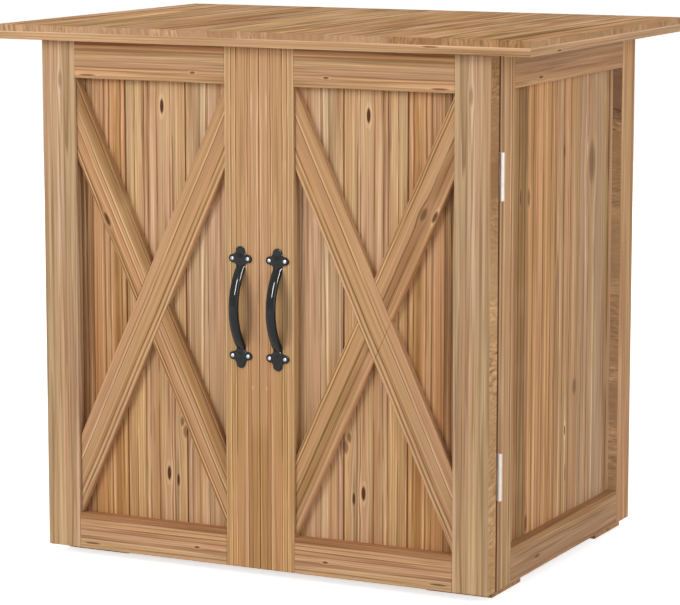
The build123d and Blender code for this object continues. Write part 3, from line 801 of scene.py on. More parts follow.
def fir_grain():
    """Node group for straight-grained fir: growth rings round a pith close behind the face.

    Place is (across, through, along) the board. A ring's number is the distance from the pith,
    plus a slow waver, over the ring width, so that rings show as long lines which close in a thin
    point over the pith. Each ring starts with a cream line and ends with a brown one, each of its
    own strength; Contrast weakens or deepens them all. Loose cream and brown streaks, and broader
    bands of honey, grey, olive, pink and dusky wood, run along the board.
    """
    finish = bpy.context.scene.cabinet_wood
    inputs = {"Place": "Vector", "Seed": "Float", "Tint": "Color", "Contrast": "Float"}
    outputs = {"Color": "Color", "Roughness": "Float", "Height": "Float"}
    group, tree, given, made = node_group("fir_grain", inputs, outputs)
    place, seed, contrast = given["Place"], given["Seed"], given["Contrast"]
    spot = tree.vector("ADD", place, tree.vector("SCALE", SEED_STEP, seed))
    streak = {name: tree.streaks(spot, *sizes) for name, sizes in STREAKS.items()}
    mask = {name: tree.ramp(streak[name], *limits) for name, limits in MASKS.items()}

    across, through, along = tree.split(place)
    aside, further, lean = tree.chance(seed)
    over = across - tree.swing(aside, PITH_ASIDE)
    behind = further * PITH_FURTHER + PITH_NEAR
    deep = tree.math("PINGPONG", through, DEPTH_FOLD) * DEPTH_SHARE + behind
    deep = deep + along * tree.swing(lean, PITH_LEAN)
    pith = tree.out("ShaderNodeVectorMath", {0: tree.join(over, deep, 0.0)}, "Value", operation="LENGTH")
    slow = tree.swing(streak["slow_waver"], finish.waver)
    quick = tree.swing(streak["quick_waver"], QUICK_SHARE * finish.waver)
    reach = pith + (slow + quick)

    rings = reach / finish.ring_width + tree.wander(reach, RING_SCALE, detail=1.0) * RING_UNEVEN
    turn = tree.math("FRACT", rings)
    number = tree.math("FLOOR", rings) + seed * RING_SEED
    brown_luck, cream_luck, _ = tree.chance(number)
    brown = tree.ramp(turn, *BROWN_RISE) - tree.ramp(turn, *BROWN_END)
    brown = brown * mask["fade"] * tree.ramp(brown_luck, *BROWN_LUCK)
    brown = tree.larger(brown, tree.larger(mask["loose_brown"], mask["hairline"]))
    cream = tree.ramp(turn, *CREAM_FADE) * mask["fade"] * tree.ramp(cream_luck, *CREAM_LUCK)
    cream = tree.larger(cream, mask["loose_cream"])

    colour = tree.stain(given["Tint"], 1.0, tree.mix(mask["warm"], GREY_WOOD, HONEY_WOOD))
    colour = tree.stain(colour, 1.0, tree.mix(mask["rosy"], OLIVE_WOOD, PINK_WOOD))
    colour = tree.stain(colour, mask["dusk"] * contrast, DUSK_BAND)
    band, fine, hair = (tree.swing(streak[name], amount) for name, amount in SWINGS.items())
    colour = tree.gain(colour, (band + fine + hair) * contrast + 1.0)
    strength = contrast * finish.contrast
    colour = tree.stain(colour, tree.math("MULTIPLY", cream, strength, clamp=True), CREAM_LINE)
    colour = tree.stain(colour, tree.math("MULTIPLY", brown, strength, clamp=True), BROWN_LINE)
    tree.put(made["Color"], colour)
    rough = tree.swing(streak["fine"], ROUGH_SWING) + finish.roughness
    tree.put(made["Roughness"], rough - brown * LINE_GLOSS)
    tree.put(made["Height"], streak["hair"] * RELIEF_SHARE - brown * RELIEF_SHARE)
    return group


def stave_ends():
    """Node group for the edges of glued staves: uneven blocks, each of its own tone and slanting ticks.

    A block's number is the place along the strip over the block length, plus a slow waver.
    """
    inputs = {name: "Float" for name in ("Run", "Rise", "Seed", "Contrast")}
    inputs.update({"Tint": "Color", "Tone": "Color"})
    group, tree, given, made = node_group("stave_ends", inputs, {"Color": "Color"})
    run, rise = given["Run"], given["Rise"]
    blocks = run / BLOCK_LENGTH + tree.wander(run, BLOCK_SCALE, detail=1.0) * BLOCK_UNEVEN
    number = tree.math("FLOOR", blocks) + given["Seed"]
    tone_luck, tick_luck, slant_luck = tree.chance(number)
    spot = tree.join(run + rise * tree.swing(slant_luck, TICK_SLANT), number * BLOCK_APART, rise)
    colour = tree.mix(tone_luck ** TONE_POWER, given["Tone"], WHITE)
    colour = tree.stain(given["Tint"], 1.0, colour)
    ticks = tree.swing(tree.streaks(spot, *TICKS), TICK_SWING)
    hairs = tree.swing(tree.streaks(spot, *HAIRS), HAIR_SWING)
    sway = (ticks + hairs) * (tick_luck ** TICK_POWER + TICK_LEAST) * given["Contrast"]
    tree.put(made["Color"], tree.gain(colour, sway + 1.0))
    return group


def knot_heart():
    """Node group for one knot: an oval heart, in a pale rim where it is dark, and the bend of the grain.

    The grain's place across is drawn towards the knot by a bell curve of the distance, so that
    its lines part round the heart. Shift, Heart and Halo come from the knot before it in a chain.
    """
    chain = {name: "Float" for name in ("Shift", "Heart", "Halo")}
    inputs = {name: "Float" for name in ("Across", "Along", *KNOT_SIZES)}
    group, tree, given, made = node_group("knot_heart", {**inputs, **chain}, chain)
    aside = given["Across"] - given["Centre Across"]
    ahead = given["Along"] - given["Centre Along"]
    far = (aside / given["Half Width"]) ** 2.0 + (ahead / given["Half Length"]) ** 2.0
    tree.put(made["Shift"], given["Shift"] - aside * BEND_BASE ** far * BEND_SHARE)
    dark = given["Dark"]
    brink = (1.0 - dark) * BRINK_SOFT + BRINK_HARD
    heart = tree.ramp(far, brink, dark * HEART_SHARE) * dark
    tree.put(made["Heart"], tree.larger(given["Heart"], heart))
    rim = tree.ramp(far, *RIM_RISE) - tree.ramp(far, *RIM_FALL)
    tree.put(made["Halo"], tree.larger(given["Halo"], rim * tree.ramp(dark, *RIM_DARKNESS)))
    return group


GROUP_MAKERS = {"fir_grain": fir_grain, "stave_ends": stave_ends, "knot_heart": knot_heart}


def shared_group(name):
    """One of the node groups above, made when it is first asked for."""
    return bpy.data.node_groups.get(name) or GROUP_MAKERS[name]()


def new_material(name):
    """A material with an empty Principled shader; returns it, its tree and the shader."""
    material = bpy.data.materials.new(name)
    material.use_nodes = True
    material.node_tree.nodes.clear()
    tree = Tree(material.node_tree)
    shader = tree.add("ShaderNodeBsdfPrincipled")
    output = tree.add("ShaderNodeOutputMaterial", {"Surface": Wire(tree, shader.outputs[0])})
    output.is_active_output = True
    return material, tree, shader


def dress(tree, shader, colour, roughness, height, relief, strength):
    """Wires a colour, a roughness and a bump of the given height into a shader."""
    bump = tree.out("ShaderNodeBump", {"Height": height, "Distance": relief, "Strength": strength})
    for label, value in (("Base Color", colour), ("Roughness", roughness), ("Normal", bump)):
        tree.put(shader.inputs[label], value)


def own_place(tree, spot, slant, paired):
    """Place on a piece, turned with a brace; on paired pieces X is the distance from the seam."""
    place = tree.split(spot)
    if paired:
        place[X] = abs(place[X])
    if slant:
        inputs = {"Vector": tree.join(*place), "Angle": slant}
        place = tree.split(tree.out("ShaderNodeVectorRotate", inputs, rotation_type="Y_AXIS"))
    return place


def each_board(tree, over, seams, tints, seed):
    """Seed, tint and own place across of the board at a place: the next tint and stretch of log for each."""
    edge, width = seams
    board = tree.math("FLOOR", (over - edge) / width)
    tint = tints[0]
    for step, board_tint in enumerate(tints[1:]):
        tint = tree.mix(tree.above(board, step - 0.5), tint, board_tint)
    return board * BOARD_SEED + seed, tint, over - (board * width + (edge + width / 2))


def bend_round(tree, knots, over, run):
    """Chains the knots: how far the grain is drawn aside, and the masks of their hearts and halos."""
    chain = {"Shift": 0.0, "Heart": 0.0, "Halo": 0.0}
    for knot in knots:
        sizes = dict(zip(KNOT_SIZES, knot))
        chain = tree.group("knot_heart", {"Across": over, "Along": run, **sizes, **chain})
    return chain["Shift"], chain["Heart"], chain["Halo"]


def drawn_lines(tree, colour, lines, over, run):
    """Single streaks that run the length of a board, with a slight waver and a fading of their own."""
    wavering = over + tree.swing(tree.wander(run, LINE_SCALE), LINE_WAVER)
    for stain, streaks in lines.items():
        for across, half_width in streaks:
            core = tree.ramp(abs(wavering - across), half_width, LINE_CORE * half_width)
            fade = tree.ramp(tree.wander(run + FADE_STEP * across, FADE_SCALE), *LINE_FADE)
            colour = tree.stain(colour, core * fade, stain)
    return colour


def drawn_slivers(tree, colour, slivers, over, run):
    """Pale slivers that widen evenly from their tip and fade out towards their end."""
    for across, tip, end, half_width in slivers:
        share_along = (run - tip) / (end - tip)
        wide = tree.larger(share_along * half_width, SLIVER_LEAST)
        core = tree.ramp(abs(over - across) / wide, *SLIVER_CORE)
        colour = tree.stain(colour, core * tree.ramp(share_along, *SLIVER_FADE), CREAM_LINE)
    return colour


def edge_staves(tree, colour, coordinates, place, seed, faces, strip, rise, tint, tone, contrast,
                dark_above=None):
    """Colour with stave ends on the faces that look along the given axes, outwards being +X on both halves.

    Strip holds the axes along the edge and rise is the axis across it. Above one height, where it
    is given, the staves are dark.
    """
    looks = tree.split(coordinates["Normal"])
    looks[X] = looks[X] * tree.math("SIGN", tree.split(coordinates["Object"])[X])
    edge = 0.0
    for axis, sense in faces:
        edge = tree.larger(edge, tree.above(looks[axis] * sense, EDGE_FACING))
    run = sum((place[axis] for axis in strip), 0.0)
    inputs = {"Run": run, "Rise": place[rise], "Seed": seed, "Contrast": contrast}
    inputs.update({"Tint": getattr(bpy.context.scene.cabinet_wood, tint), "Tone": tone})
    shown = tree.group("stave_ends", inputs)["Color"]
    if dark_above is not None:
        shown = tree.stain(shown, tree.above(place[Z], dark_above), STAVE_DARK)
    return tree.mix(edge, colour, shown)


def paint(material, *nodes):
    """Gives CAD nodes a material in place of the plain one."""
    for node in nodes:
        for slot in frame["nodes"][node].material_slots:
            slot.material = material


def timber(name, nodes, tints, along, across, seed, centre=0.0, seams=None, grooved=False, paired=True,
           slant=0.0, knots=(), lines=(), slivers=(), tones=(), staves=None, sheen=None, spread=1.0,
           contrast=1.0):
    """Paints CAD nodes as stained fir with its grain along one axis and its face across another.

    Tints are names of shades. With seams, each board takes the next tint and its own stretch of the
    log, and grooved boards get painted shade in the grooves between them. Tones, which are stains or
    painted shades, come in slowly between two places, and staves describe the edges that show stave
    ends. Spread widens the grain. Paired pieces mirror each other; a piece that spans the middle isn't
    paired. The seed picks the log, the centre is the middle of a piece without seams, and the slant is
    the turn of a brace.
    """
    finish = bpy.context.scene.cabinet_wood
    tints = [getattr(finish, tint) for tint in tints]
    material, tree, shader = new_material(name)
    coordinates = tree.outs("ShaderNodeTexCoord")
    place = own_place(tree, coordinates["Object"], slant, paired)
    over, deep, run = place[across], place[X + Y + Z - along - across], place[along]
    if seams:
        number, tint, local = each_board(tree, over, seams, tints, seed)
    else:
        number, tint, local = seed, tints[0], over - centre
    shift, heart, halo = bend_round(tree, knots, over, run)
    spot = tree.join((local + shift) / spread, deep, run)
    grain = tree.group("fir_grain", {"Place": spot, "Seed": number, "Tint": tint, "Contrast": contrast})
    colour = grain["Color"]
    if lines:
        colour = drawn_lines(tree, colour, lines, over + shift, run)
    if slivers:
        colour = drawn_slivers(tree, colour, slivers, over, run)
    if grooved:
        # Painted shade in the grooves between boards
        brink = inside_of(seams[1] / 2, -1, GROOVE)
        colour = tree.stain(colour, tree.ramp(abs(local), *brink), GROOVE_SHADE)
    if knots:
        colour = tree.stain(colour, halo * RIM_SHARE, CREAM_LINE)
        colour = tree.mix(heart, colour, tree.gain(finish.knot, grain["Height"] * RELIEF_SHARE + 1.0))
    if staves:
        colour = edge_staves(tree, colour, coordinates, place, seed, **staves)
    # Each tone is a stain or a painted shade
    for axis, begin, end, stain, *bound in tones:
        depth = tree.ramp(place[axis], begin, end)
        if bound:
            depth = depth * tree.ramp(place[bound[0]], *bound[1:])
        colour = tree.stain(colour, depth, stain)
    dress(tree, shader, colour, grain["Roughness"], grain["Height"], finish.relief, RELIEF_STRENGTH)
    shader.inputs["Specular IOR Level"].default_value = finish.sheen if sheen is None else sheen
    paint(material, *nodes)


def centred(lines, centre):
    """Lines at their own places, from lines measured from a centre."""
    return {stain: [(centre + place, half) for place, half in streaks] for stain, streaks in lines.items()}


def both(*names):
    """Names of the right-hand and left-hand node of each kind."""
    return [side + "_" + name for side, _ in SIDES for name in names]


def plated(name, colour, roughness, speckle, metallic=1.0, inner=None, edge=0.0):
    """Plated or moulded finish with a faint drawn texture, in the inner colour nearer the seam than edge."""
    material, tree, shader = new_material(name)
    spot = tree.outs("ShaderNodeTexCoord")["Object"]
    drawn = tree.streaks(spot, *DRAWN)
    cloud = tree.streaks(spot, *CLOUDS)
    tint = colour
    if inner:
        outside = tree.ramp(abs(tree.split(spot)[X]), edge - LEAF_EDGE, edge + LEAF_EDGE)
        tint = tree.mix(outside, inner, colour)
    tint = tree.gain(tint, cloud * (2 * speckle) + (1 - speckle))
    dress(tree, shader, tint, drawn * DRAWN_ROUGH + roughness, drawn, PLATE_RELIEF, PLATE_BUMP)
    shader.inputs["Metallic"].default_value = metallic
    return material


def black_paint(name):
    """Gloss black paint over cast iron, with a faint orange peel and clouds of shade and gloss."""
    material, tree, shader = new_material(name)
    spot = tree.outs("ShaderNodeTexCoord")["Object"]
    peel = tree.noise(spot, *PEEL)
    cloud = tree.noise(spot, *PAINT_CLOUDS)
    tint = tree.gain(bpy.context.scene.cabinet_metal.black, cloud * PAINT_SWING + PAINT_LEAST)
    dress(tree, shader, tint, tree.ramp(cloud, *PAINT_ROUGHNESS), peel, PEEL_RELIEF, PEEL_BUMP)
    shader.inputs["Specular IOR Level"].default_value = PAINT_SPECULAR
    return material


def skin(rows):
    """Points, quads and fans of a closed tube through rows of points, each end drawn to its middle.

    Rows is an array of (row, column, xyz). Neighbouring rows are joined by quads that wrap round,
    and the first and last rows are closed by fans to their mean point.
    """
    count, columns = rows.shape[:2]
    points = np.vstack([rows.reshape(-1, 3), rows[0].mean(axis=0), rows[-1].mean(axis=0)])
    here = np.arange(count * columns).reshape(count, columns)
    after = np.roll(here, -1, axis=1)
    quads = np.stack([here[:-1], after[:-1], after[1:], here[1:]], axis=-1).reshape(-1, 4)
    foot = np.stack([after[0], here[0], np.full(columns, count * columns)], axis=-1)
    head = np.stack([here[-1], after[-1], np.full(columns, count * columns + 1)], axis=-1)
    return points, quads, np.vstack([foot, head])


def piece(name, shells, body, material, nodes):
    """One object from closed shells of points, quads and fans, riding on a body in place of CAD nodes."""
    points, faces, offset = [], [], 0
    for shell_points, quads, fans in shells:
        points.append(shell_points)
        faces += (quads + offset).tolist() + (fans + offset).tolist()
        offset += len(shell_points)
    mesh = bpy.data.meshes.new(name)
    mesh.from_pydata(np.vstack(points).tolist(), [], faces)
    shape = bmesh.new()
    shape.from_mesh(mesh)
    bmesh.ops.remove_doubles(shape, verts=shape.verts, dist=MERGE_DISTANCE)
    bmesh.ops.recalc_face_normals(shape, faces=shape.faces)
    shape.to_mesh(mesh)
    shape.free()
    mesh.shade_smooth()
    mesh.set_sharp_from_angle(angle=SHARP_ANGLE)
    mesh.materials.append(material)
    made = bpy.data.objects.new(name, mesh)
    bpy.context.scene.collection.objects.link(made)
    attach(made, body)
    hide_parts(*nodes)


def on_door(rows, centre, sign):
    """Carries points from a door's own plane, (right, up, out), to their place on the cabinet."""
    right, up, out = np.moveaxis(rows, -1, 0)
    return np.stack([sign * (right + centre.x), DOOR_FACE - out, up + centre.z], axis=-1)


def pull_place(form, side, sign):
    """Centre of a pull, its X counted from the seam, then its screw lines' height and its crest's reach."""
    low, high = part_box(side + "_handle")
    centre = (low + high) / 2
    centre.x *= sign
    return centre, (high.z - low.z) / 2 - form.tip_reach, high.y - low.y - form.bar_depth / 2


def around(columns):
    """Even angles round a full turn."""
    return np.linspace(0, 2 * math.pi, columns, endpoint=False)


def lobe(angles, direction, distance, radius):
    """Reach, at each angle, of a round-ended bar from the origin in one direction.

    The bar's straight sides lie at the radius; its end is a circle round the far point.
    """
    turn = angles - direction
    side, ahead = np.abs(np.sin(turn)), np.cos(turn)
    on_end = (ahead > 0) & (side * distance <= radius * ahead)
    end = distance * ahead + np.sqrt(np.maximum(radius**2 - (distance * side) ** 2, 0))
    flank = radius / np.maximum(side, 1e-6)
    return np.where(on_end, end, np.where(ahead > 0, flank, radius))


def trefoil(form, angles):
    """Rim of an end plate: a round body with a tip and two ears, blended by a soft maximum.

    The soft maximum is the logarithm of the sum of exponentials of each lobe's reach, over a
    blending length that gives the inner corners their rounding.
    """
    ear = form.screw_spacing / 2
    reaches = np.stack([
        np.full_like(angles, form.body_radius),
        lobe(angles, math.pi / 2, form.tip_reach - form.tip_radius, form.tip_radius),
        lobe(angles, 0.0, ear, form.ear_radius),
        lobe(angles, math.pi, ear, form.ear_radius),
    ])
    return form.plate_blend * np.log(np.exp(reaches / form.plate_blend).sum(axis=0))


def pull_plate(form, side_up):
    """End plate as rings from the middle of its back, round its rolled rim, to its crowned front.

    Each ring is the rim drawn in by a share or by the rolled edge; side_up is 1 for the upper
    plate and -1 for the lower one, which is turned over.
    """
    angles = around(PLATE_COLUMNS)
    rim = trefoil(form, angles)
    edge, thick = form.plate_edge, form.plate_thickness
    roll = np.linspace(0, math.pi / 2, ROLL_RINGS)[1:]
    inset = np.concatenate([[0.0, 0.0], edge * (1 - np.cos(roll))])
    heights = np.concatenate([[0.0, thick - edge], thick - edge * (1 - np.sin(roll))])
    rolled = rim - inset[:, None]
    face = np.linspace(CROWN_START, PLATE_HUB, CROWN_RINGS)[:, None] * rolled[-1]
    crown = thick + form.crown_height * np.exp(-((face / form.crown_radius) ** 2))
    reach = np.vstack([PLATE_HUB * rim, rolled, face])
    level = np.vstack([np.zeros_like(rim), np.repeat(heights[:, None], len(rim), axis=1), crown])
    return np.stack([reach * np.cos(angles), side_up * reach * np.sin(angles), level], axis=-1)


def pull_bar(form, half_span, rise):
    """Arched bar: a rounded oval carried along an arc that leaves both plates and bows outwards.

    The arc passes just below the two plates' faces and through the crest; the oval is a
    superellipse, square to the arc, and is cut off flat at the door. Its ends follow the round rims
    of the plates' bodies.
    """
    end_out = form.plate_thickness - form.bar_sink - form.bar_depth / 2
    sagitta = rise - end_out
    radius = (half_span**2 + sagitta**2) / (2 * sagitta)
    turn = around(BAR_COLUMNS)[None, :]
    cosine, sine = np.cos(turn), np.sin(turn)
    wide = form.bar_width / 2 * np.sign(cosine) * np.abs(cosine) ** (2 / OVAL_POWER)
    deep = form.bar_depth / 2 * np.sign(sine) * np.abs(sine) ** (2 / OVAL_POWER)
    reach = half_span + form.body_radius - np.sqrt(form.body_radius**2 - wide**2)
    swing = np.linspace(-1, 1, BAR_RINGS)[:, None] * np.arcsin(reach / radius)
    up = (radius + deep) * np.sin(swing)
    out = (radius + deep) * np.cos(swing) - radius + rise
    return np.stack([np.broadcast_to(wide, up.shape), up, np.maximum(out, BAR_CUT)], axis=-1)


def screw(head_radius, head_height, shank_radius, length_below, domed):
    """Screw of revolution along +Z with a cross recess in its head, its seat at z = 0.

    The head's top is a flat or a dome; the recess is the larger of two soft-edged bars that cross,
    sunk by its depth. Below the seat the shank tapers to a point. A domed head has a flat underside.
    """
    head_share = np.linspace(HEAD_HUB, 1.0, HEAD_RINGS)
    drop = DOME_DROP * head_share**DOME_POWER if domed else np.zeros(HEAD_RINGS)
    low_radius = [shank_radius, shank_radius, POINT_SHARE * shank_radius]
    low_height = [0.0, -TAPER_START * length_below, -length_below]
    if domed:
        low_radius = [head_radius, *low_radius]
        low_height = [0.0, *low_height]
    reach = np.concatenate([head_radius * head_share, low_radius])[:, None]
    height = np.concatenate([head_height * (1 - drop), low_height])[:, None]
    turn = around(SCREW_COLUMNS)[None, :]
    right, up = reach * np.cos(turn), reach * np.sin(turn)
    arm, half_slot, soft = (part * head_radius for part in (RECESS_ARM, RECESS_HALF, RECESS_SOFT))

    def bar(first, second):
        """Soft mask of one arm of the cross."""
        across = np.clip((half_slot + soft - np.abs(first)) / soft, 0, 1)
        return across * np.clip((arm + soft - np.abs(second)) / soft, 0, 1)

    recess = RECESS_DEPTH * head_height * np.maximum(bar(right, up), bar(up, right))
    recess[HEAD_RINGS:] = 0
    return np.stack([right, up, height - recess], axis=-1)


def turned(points, turn):
    """Points turned about +Z, so that the slots of a row of screws differ."""
    right, up, out = np.moveaxis(points, -1, 0)
    cosine, sine = math.cos(turn), math.sin(turn)
    return np.stack([cosine * right - sine * up, sine * right + cosine * up, out], axis=-1)


class CABINET_OT_top(bpy.types.Operator):
    """Stain the top planks and the trim frame under them."""

    bl_idname = "cabinet.top"
    bl_label = "Top"

    def execute(self, context):
        timber("fir_top_planks", ["top_planks"], ["top"], Y, X, seed=2.3, seams=TOP_SEAMS,
               staves=TOP_STAVES, tones=PLANK_TONES, sheen=0.0, spread=2.6, contrast=1.3, paired=False)
        level = middle("top_trim_front", Z)
        for name, seed, along, ends in (("long", 5.1, X, ("front", "rear")),
                                        ("short", 6.4, Y, ("left", "right"))):
            nodes = ["top_trim_" + end for end in ends]
            timber("fir_trim_" + name, nodes, ["trim"], along, Z, seed, centre=level, knots=TRIM_KNOTS[name],
                   tones=TRIM_TONES, spread=0.5, paired=along == Y)
        return {"FINISHED"}


class CABINET_OT_carcass(bpy.types.Operator):
    """Stain the posts, rails and boards of the carcass."""

    bl_idname = "cabinet.carcass"
    bl_label = "Carcass"

    def execute(self, context):
        front, rear = middle("right_front_post", Y), middle("right_rear_post", Y)
        timber("fir_front_posts", both("front_post"), ["post"], Z, Y, seed=11.3, centre=front,
               lines=centred(POST_LINES, front), tones=POST_TONES, spread=1.3, contrast=0.75)
        timber("fir_rear_posts", both("rear_post"), ["rear_post"], Z, Y, seed=12.9, centre=rear,
               staves=POST_STAVES, spread=1.3)
        for name, side_seed, wide_seed in (("bottom_rail", 13.2, 16.1), ("top_rail", 14.8, 17.7)):
            level = middle("right_" + name, Z)
            timber("fir_side_" + name, both(name), ["side_rail"], Y, Z, side_seed, centre=level,
                   knots=SIDE_RAIL_KNOTS, tones=rail_tones("right_" + name, SIDE_RAIL_TOP))
            timber("fir_wide_" + name, ["back_" + name, "front_" + name], ["rail"], X, Z, wide_seed,
                   centre=level, paired=False)
        tints = ["side_front", "side_second", "side", "side_rear"]
        timber("fir_side_boards", both("side_boards"), tints, Z, Y, seed=15.6, seams=SIDE_SEAMS,
               knots=SIDE_KNOTS, lines=SIDE_LINES, slivers=SIDE_SLIVERS, spread=1.4)
        timber("fir_back_boards", ["back_boards"], ["side"], Z, X, seed=18.5, seams=BACK_SEAMS, grooved=True,
               paired=False)
        return {"FINISHED"}


class CABINET_OT_inside(bpy.types.Operator):
    """Finish the floor, the shelf and their cleats."""

    bl_idname = "cabinet.inside"
    bl_label = "Inside"

    def execute(self, context):
        tints = ["inside"]
        timber("fir_floor", ["floor_boards"], tints, Y, X, seed=21.4, seams=FLOOR_SEAMS, paired=False)
        timber("fir_shelf", ["shelf_boards"], tints, X, Y, seed=22.6, seams=SHELF_SEAMS, paired=False)
        timber("fir_floor_cleats", ["floor_cleats"], tints, X, Z, seed=23.1, centre=FLOOR_CLEAT_LINE,
               paired=False)
        timber("fir_shelf_cleats", ["shelf_cleats"], tints, Y, Z, seed=24.9, centre=SHELF_CLEAT_LINE)
        return {"FINISHED"}


class CABINET_OT_feet(bpy.types.Operator):
    """Stain the pads under the corners."""

    bl_idname = "cabinet.feet"
    bl_label = "Feet"

    def execute(self, context):
        timber("fir_feet", both("front_foot", "rear_foot"), ["foot"], X, Y, seed=31.7, centre=FOOT_LINE)
        return {"FINISHED"}


class CABINET_OT_doors(bpy.types.Operator):
    """Stain the doors' stiles, rails and boards."""

    bl_idname = "cabinet.doors"
    bl_label = "Doors"

    def execute(self, context):
        outer, inner = middle("right_door_outer_stile", X), middle("right_door_inner_stile", X)
        timber("fir_outer_stiles", both("door_outer_stile"), ["stile"], Z, X, seed=41.2, centre=outer,
               knots=STILE_KNOTS, staves=DOOR_STAVES, tones=OUTER_STILE_TONES)
        timber("fir_inner_stiles", both("door_inner_stile"), ["centre"], Z, X, seed=42.8, centre=inner,
               lines=STILE_LINES, slivers=STILE_SLIVERS, tones=INNER_STILE_TONES, contrast=0.75)
        for name, seed in (("door_bottom_rail", 43.5), ("door_top_rail", 44.1)):
            level = middle("right_" + name, Z)
            timber("fir_" + name, both(name), ["rail"], X, Z, seed, centre=level, knots=RAIL_KNOTS,
                   tones=rail_tones("right_" + name, RAIL_TOP), spread=0.8, contrast=1.25)
        tints = ["board_inner", "board_middle", "board_outer"]
        timber("fir_door_boards", both("door_boards"), tints, Z, X, seed=45.9, seams=DOOR_SEAMS,
               knots=DOOR_KNOTS, lines=BOARD_LINES, slivers=BOARD_SLIVERS, tones=BOARD_TONES, grooved=True)
        return {"FINISHED"}


class CABINET_OT_braces(bpy.types.Operator):
    """Stain the slanting braces along their own length."""

    bl_idname = "cabinet.braces"
    bl_label = "Braces"

    def execute(self, context):
        long_nodes = ["left_long_brace", "right_long_brace_upper", "right_long_brace_lower"]
        self.brace("fir_long_braces", long_nodes, seed=51.4, lean=BRACE_LEAN, lines=LONG_BRACE_LINES,
                   knots=())
        for side, seed, lines, knots in (("right", 52.6, RIGHT_BRACE_LINES, RIGHT_BRACE_KNOTS),
                                         ("left", 53.2, LEFT_BRACE_LINES, LEFT_BRACE_KNOTS)):
            nodes = [side + "_half_brace_lower", side + "_half_brace_upper"]
            self.brace("fir_" + side + "_half_braces", nodes, seed, -BRACE_LEAN, lines, knots)
        return {"FINISHED"}

    def brace(self, name, nodes, seed, lean, lines, knots):
        """Fir that runs along a brace through the middle of a door; lean is its turn from upright."""
        cosine, sine = math.cos(lean), math.sin(lean)
        centre = middle("right_door_boards", X) * cosine + middle("right_door_boards", Z) * sine
        own_knots = [(x * cosine + z * sine, z * cosine - x * sine, *rest) for x, z, *rest in knots]
        timber(name, nodes, ["brace"], Z, X, seed, centre=centre, lines=centred(lines, centre),
               knots=own_knots, slant=lean, contrast=0.7)


class CABINET_OT_pulls(bpy.types.Operator):
    """Model the arched black pulls with their trefoil plates."""

    bl_idname = "cabinet.pulls"
    bl_label = "Pulls"

    def execute(self, context):
        form = context.scene.cabinet_pull
        paint_black = black_paint("black_iron")
        for side, sign in SIDES:
            centre, screw_line, rise = pull_place(form, side, sign)
            half_span = screw_line - form.body_radius + form.bar_lap
            forms = [pull_bar(form, half_span, rise)]
            forms += [pull_plate(form, up) + np.array([0.0, up * screw_line, 0.0]) for up in (1, -1)]
            shells = [skin(on_door(rows, centre, sign)) for rows in forms]
            piece(side + "_pull", shells, side + "_door", paint_black, [side + "_handle"])
        return {"FINISHED"}


class CABINET_OT_pull_screws(bpy.types.Operator):
    """Model the bright pan-head screws of the pulls."""

    bl_idname = "cabinet.pull_screws"
    bl_label = "Pull Screws"

    def execute(self, context):
        form = context.scene.cabinet_pull
        bright = plated("bright_steel", context.scene.cabinet_metal.steel, roughness=0.30, speckle=0.05)
        for side, sign in SIDES:
            node = side + "_handle_screws"
            centre, screw_line, _ = pull_place(form, side, sign)
            near, far = edges(node, Y)
            below = far - near - form.head_height
            one = screw(form.head_radius, form.head_height, form.shank_radius, below, domed=True)
            shells = []
            for column in (-1, 1):
                for row in (-1, 1):
                    place = [column * form.screw_spacing / 2, row * screw_line, form.plate_thickness]
                    turn = RECESS_TURN + COLUMN_TURN * column + ROW_TURN * row
                    rows = turned(one, turn) + np.array(place)
                    shells.append(skin(on_door(rows, centre, sign)))
            piece(side + "_pull_screws", shells, side + "_door", bright, [node])
        return {"FINISHED"}


class CABINET_OT_hinges(bpy.types.Operator):
    """Plate the hinge leaves and pins, and model their countersunk screws."""

    bl_idname = "cabinet.hinges"
    bl_label = "Hinges"

    def execute(self, context):
        form = context.scene.cabinet_hinge
        metal = context.scene.cabinet_metal
        zinc = plated("zinc_plate", metal.zinc, roughness=0.50, speckle=0.06, metallic=0.35,
                      inner=metal.leaf, edge=POST_FLANK)
        paint(zinc, "hinge_frame_leaves", "hinge_pins", *both("hinge_door_leaves"))
        bright = plated("hinge_screw_steel", metal.steel, roughness=0.22, speckle=0.05)
        self.fasten(form, bright, "hinge_frame_screws", "cabinet", SIDES, facing=1)
        for side, sign in SIDES:
            node, body = side + "_hinge_door_screws", side + "_door"
            self.fasten(form, bright, node, body, [(side, sign)], facing=-1)
        return {"FINISHED"}

    def fasten(self, form, material, node, body, sides, facing):
        """Screws of one node, two to a leaf; facing is 1 on the carcass and -1 on a door."""
        low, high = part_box(node)
        seat = low.y if facing > 0 else high.y
        below = high.y - low.y - form.head_depth
        bottom, top = low.z + form.seat_radius, high.z - form.seat_radius
        levels = (bottom, bottom + form.screw_pitch, top - form.screw_pitch, top)
        one = screw(form.head_radius, form.head_depth, form.shank_radius, below, domed=False)
        shells = []
        for side, sign in sides:
            across = HINGES[side].x - sign * form.screw_inset
            for number, level in enumerate(round(level, 4) for level in levels):
                right, up, out = np.moveaxis(turned(one, HINGE_TURN * number), -1, 0)
                place = [across + right, seat - facing * (out - form.head_depth), level + up]
                shells.append(skin(np.stack(place, axis=-1)))
        piece(node.replace("hinge", "hinge_bright"), shells, body, material, [node])


class CABINET_OT_catches(bpy.types.Operator):
    """Finish the magnetic catches and their strike plates."""

    bl_idname = "cabinet.catches"
    bl_label = "Catches"

    def execute(self, context):
        metal = context.scene.cabinet_metal
        moulded = plated("catch_housing", metal.plastic, roughness=0.42, speckle=0.04, metallic=0.0)
        paint(moulded, "catch_housings")
        steel = plated("catch_steel", metal.leaf, roughness=0.32, speckle=0.08)
        paint(steel, "catch_poles", *both("strike_plate"))
        return {"FINISHED"}


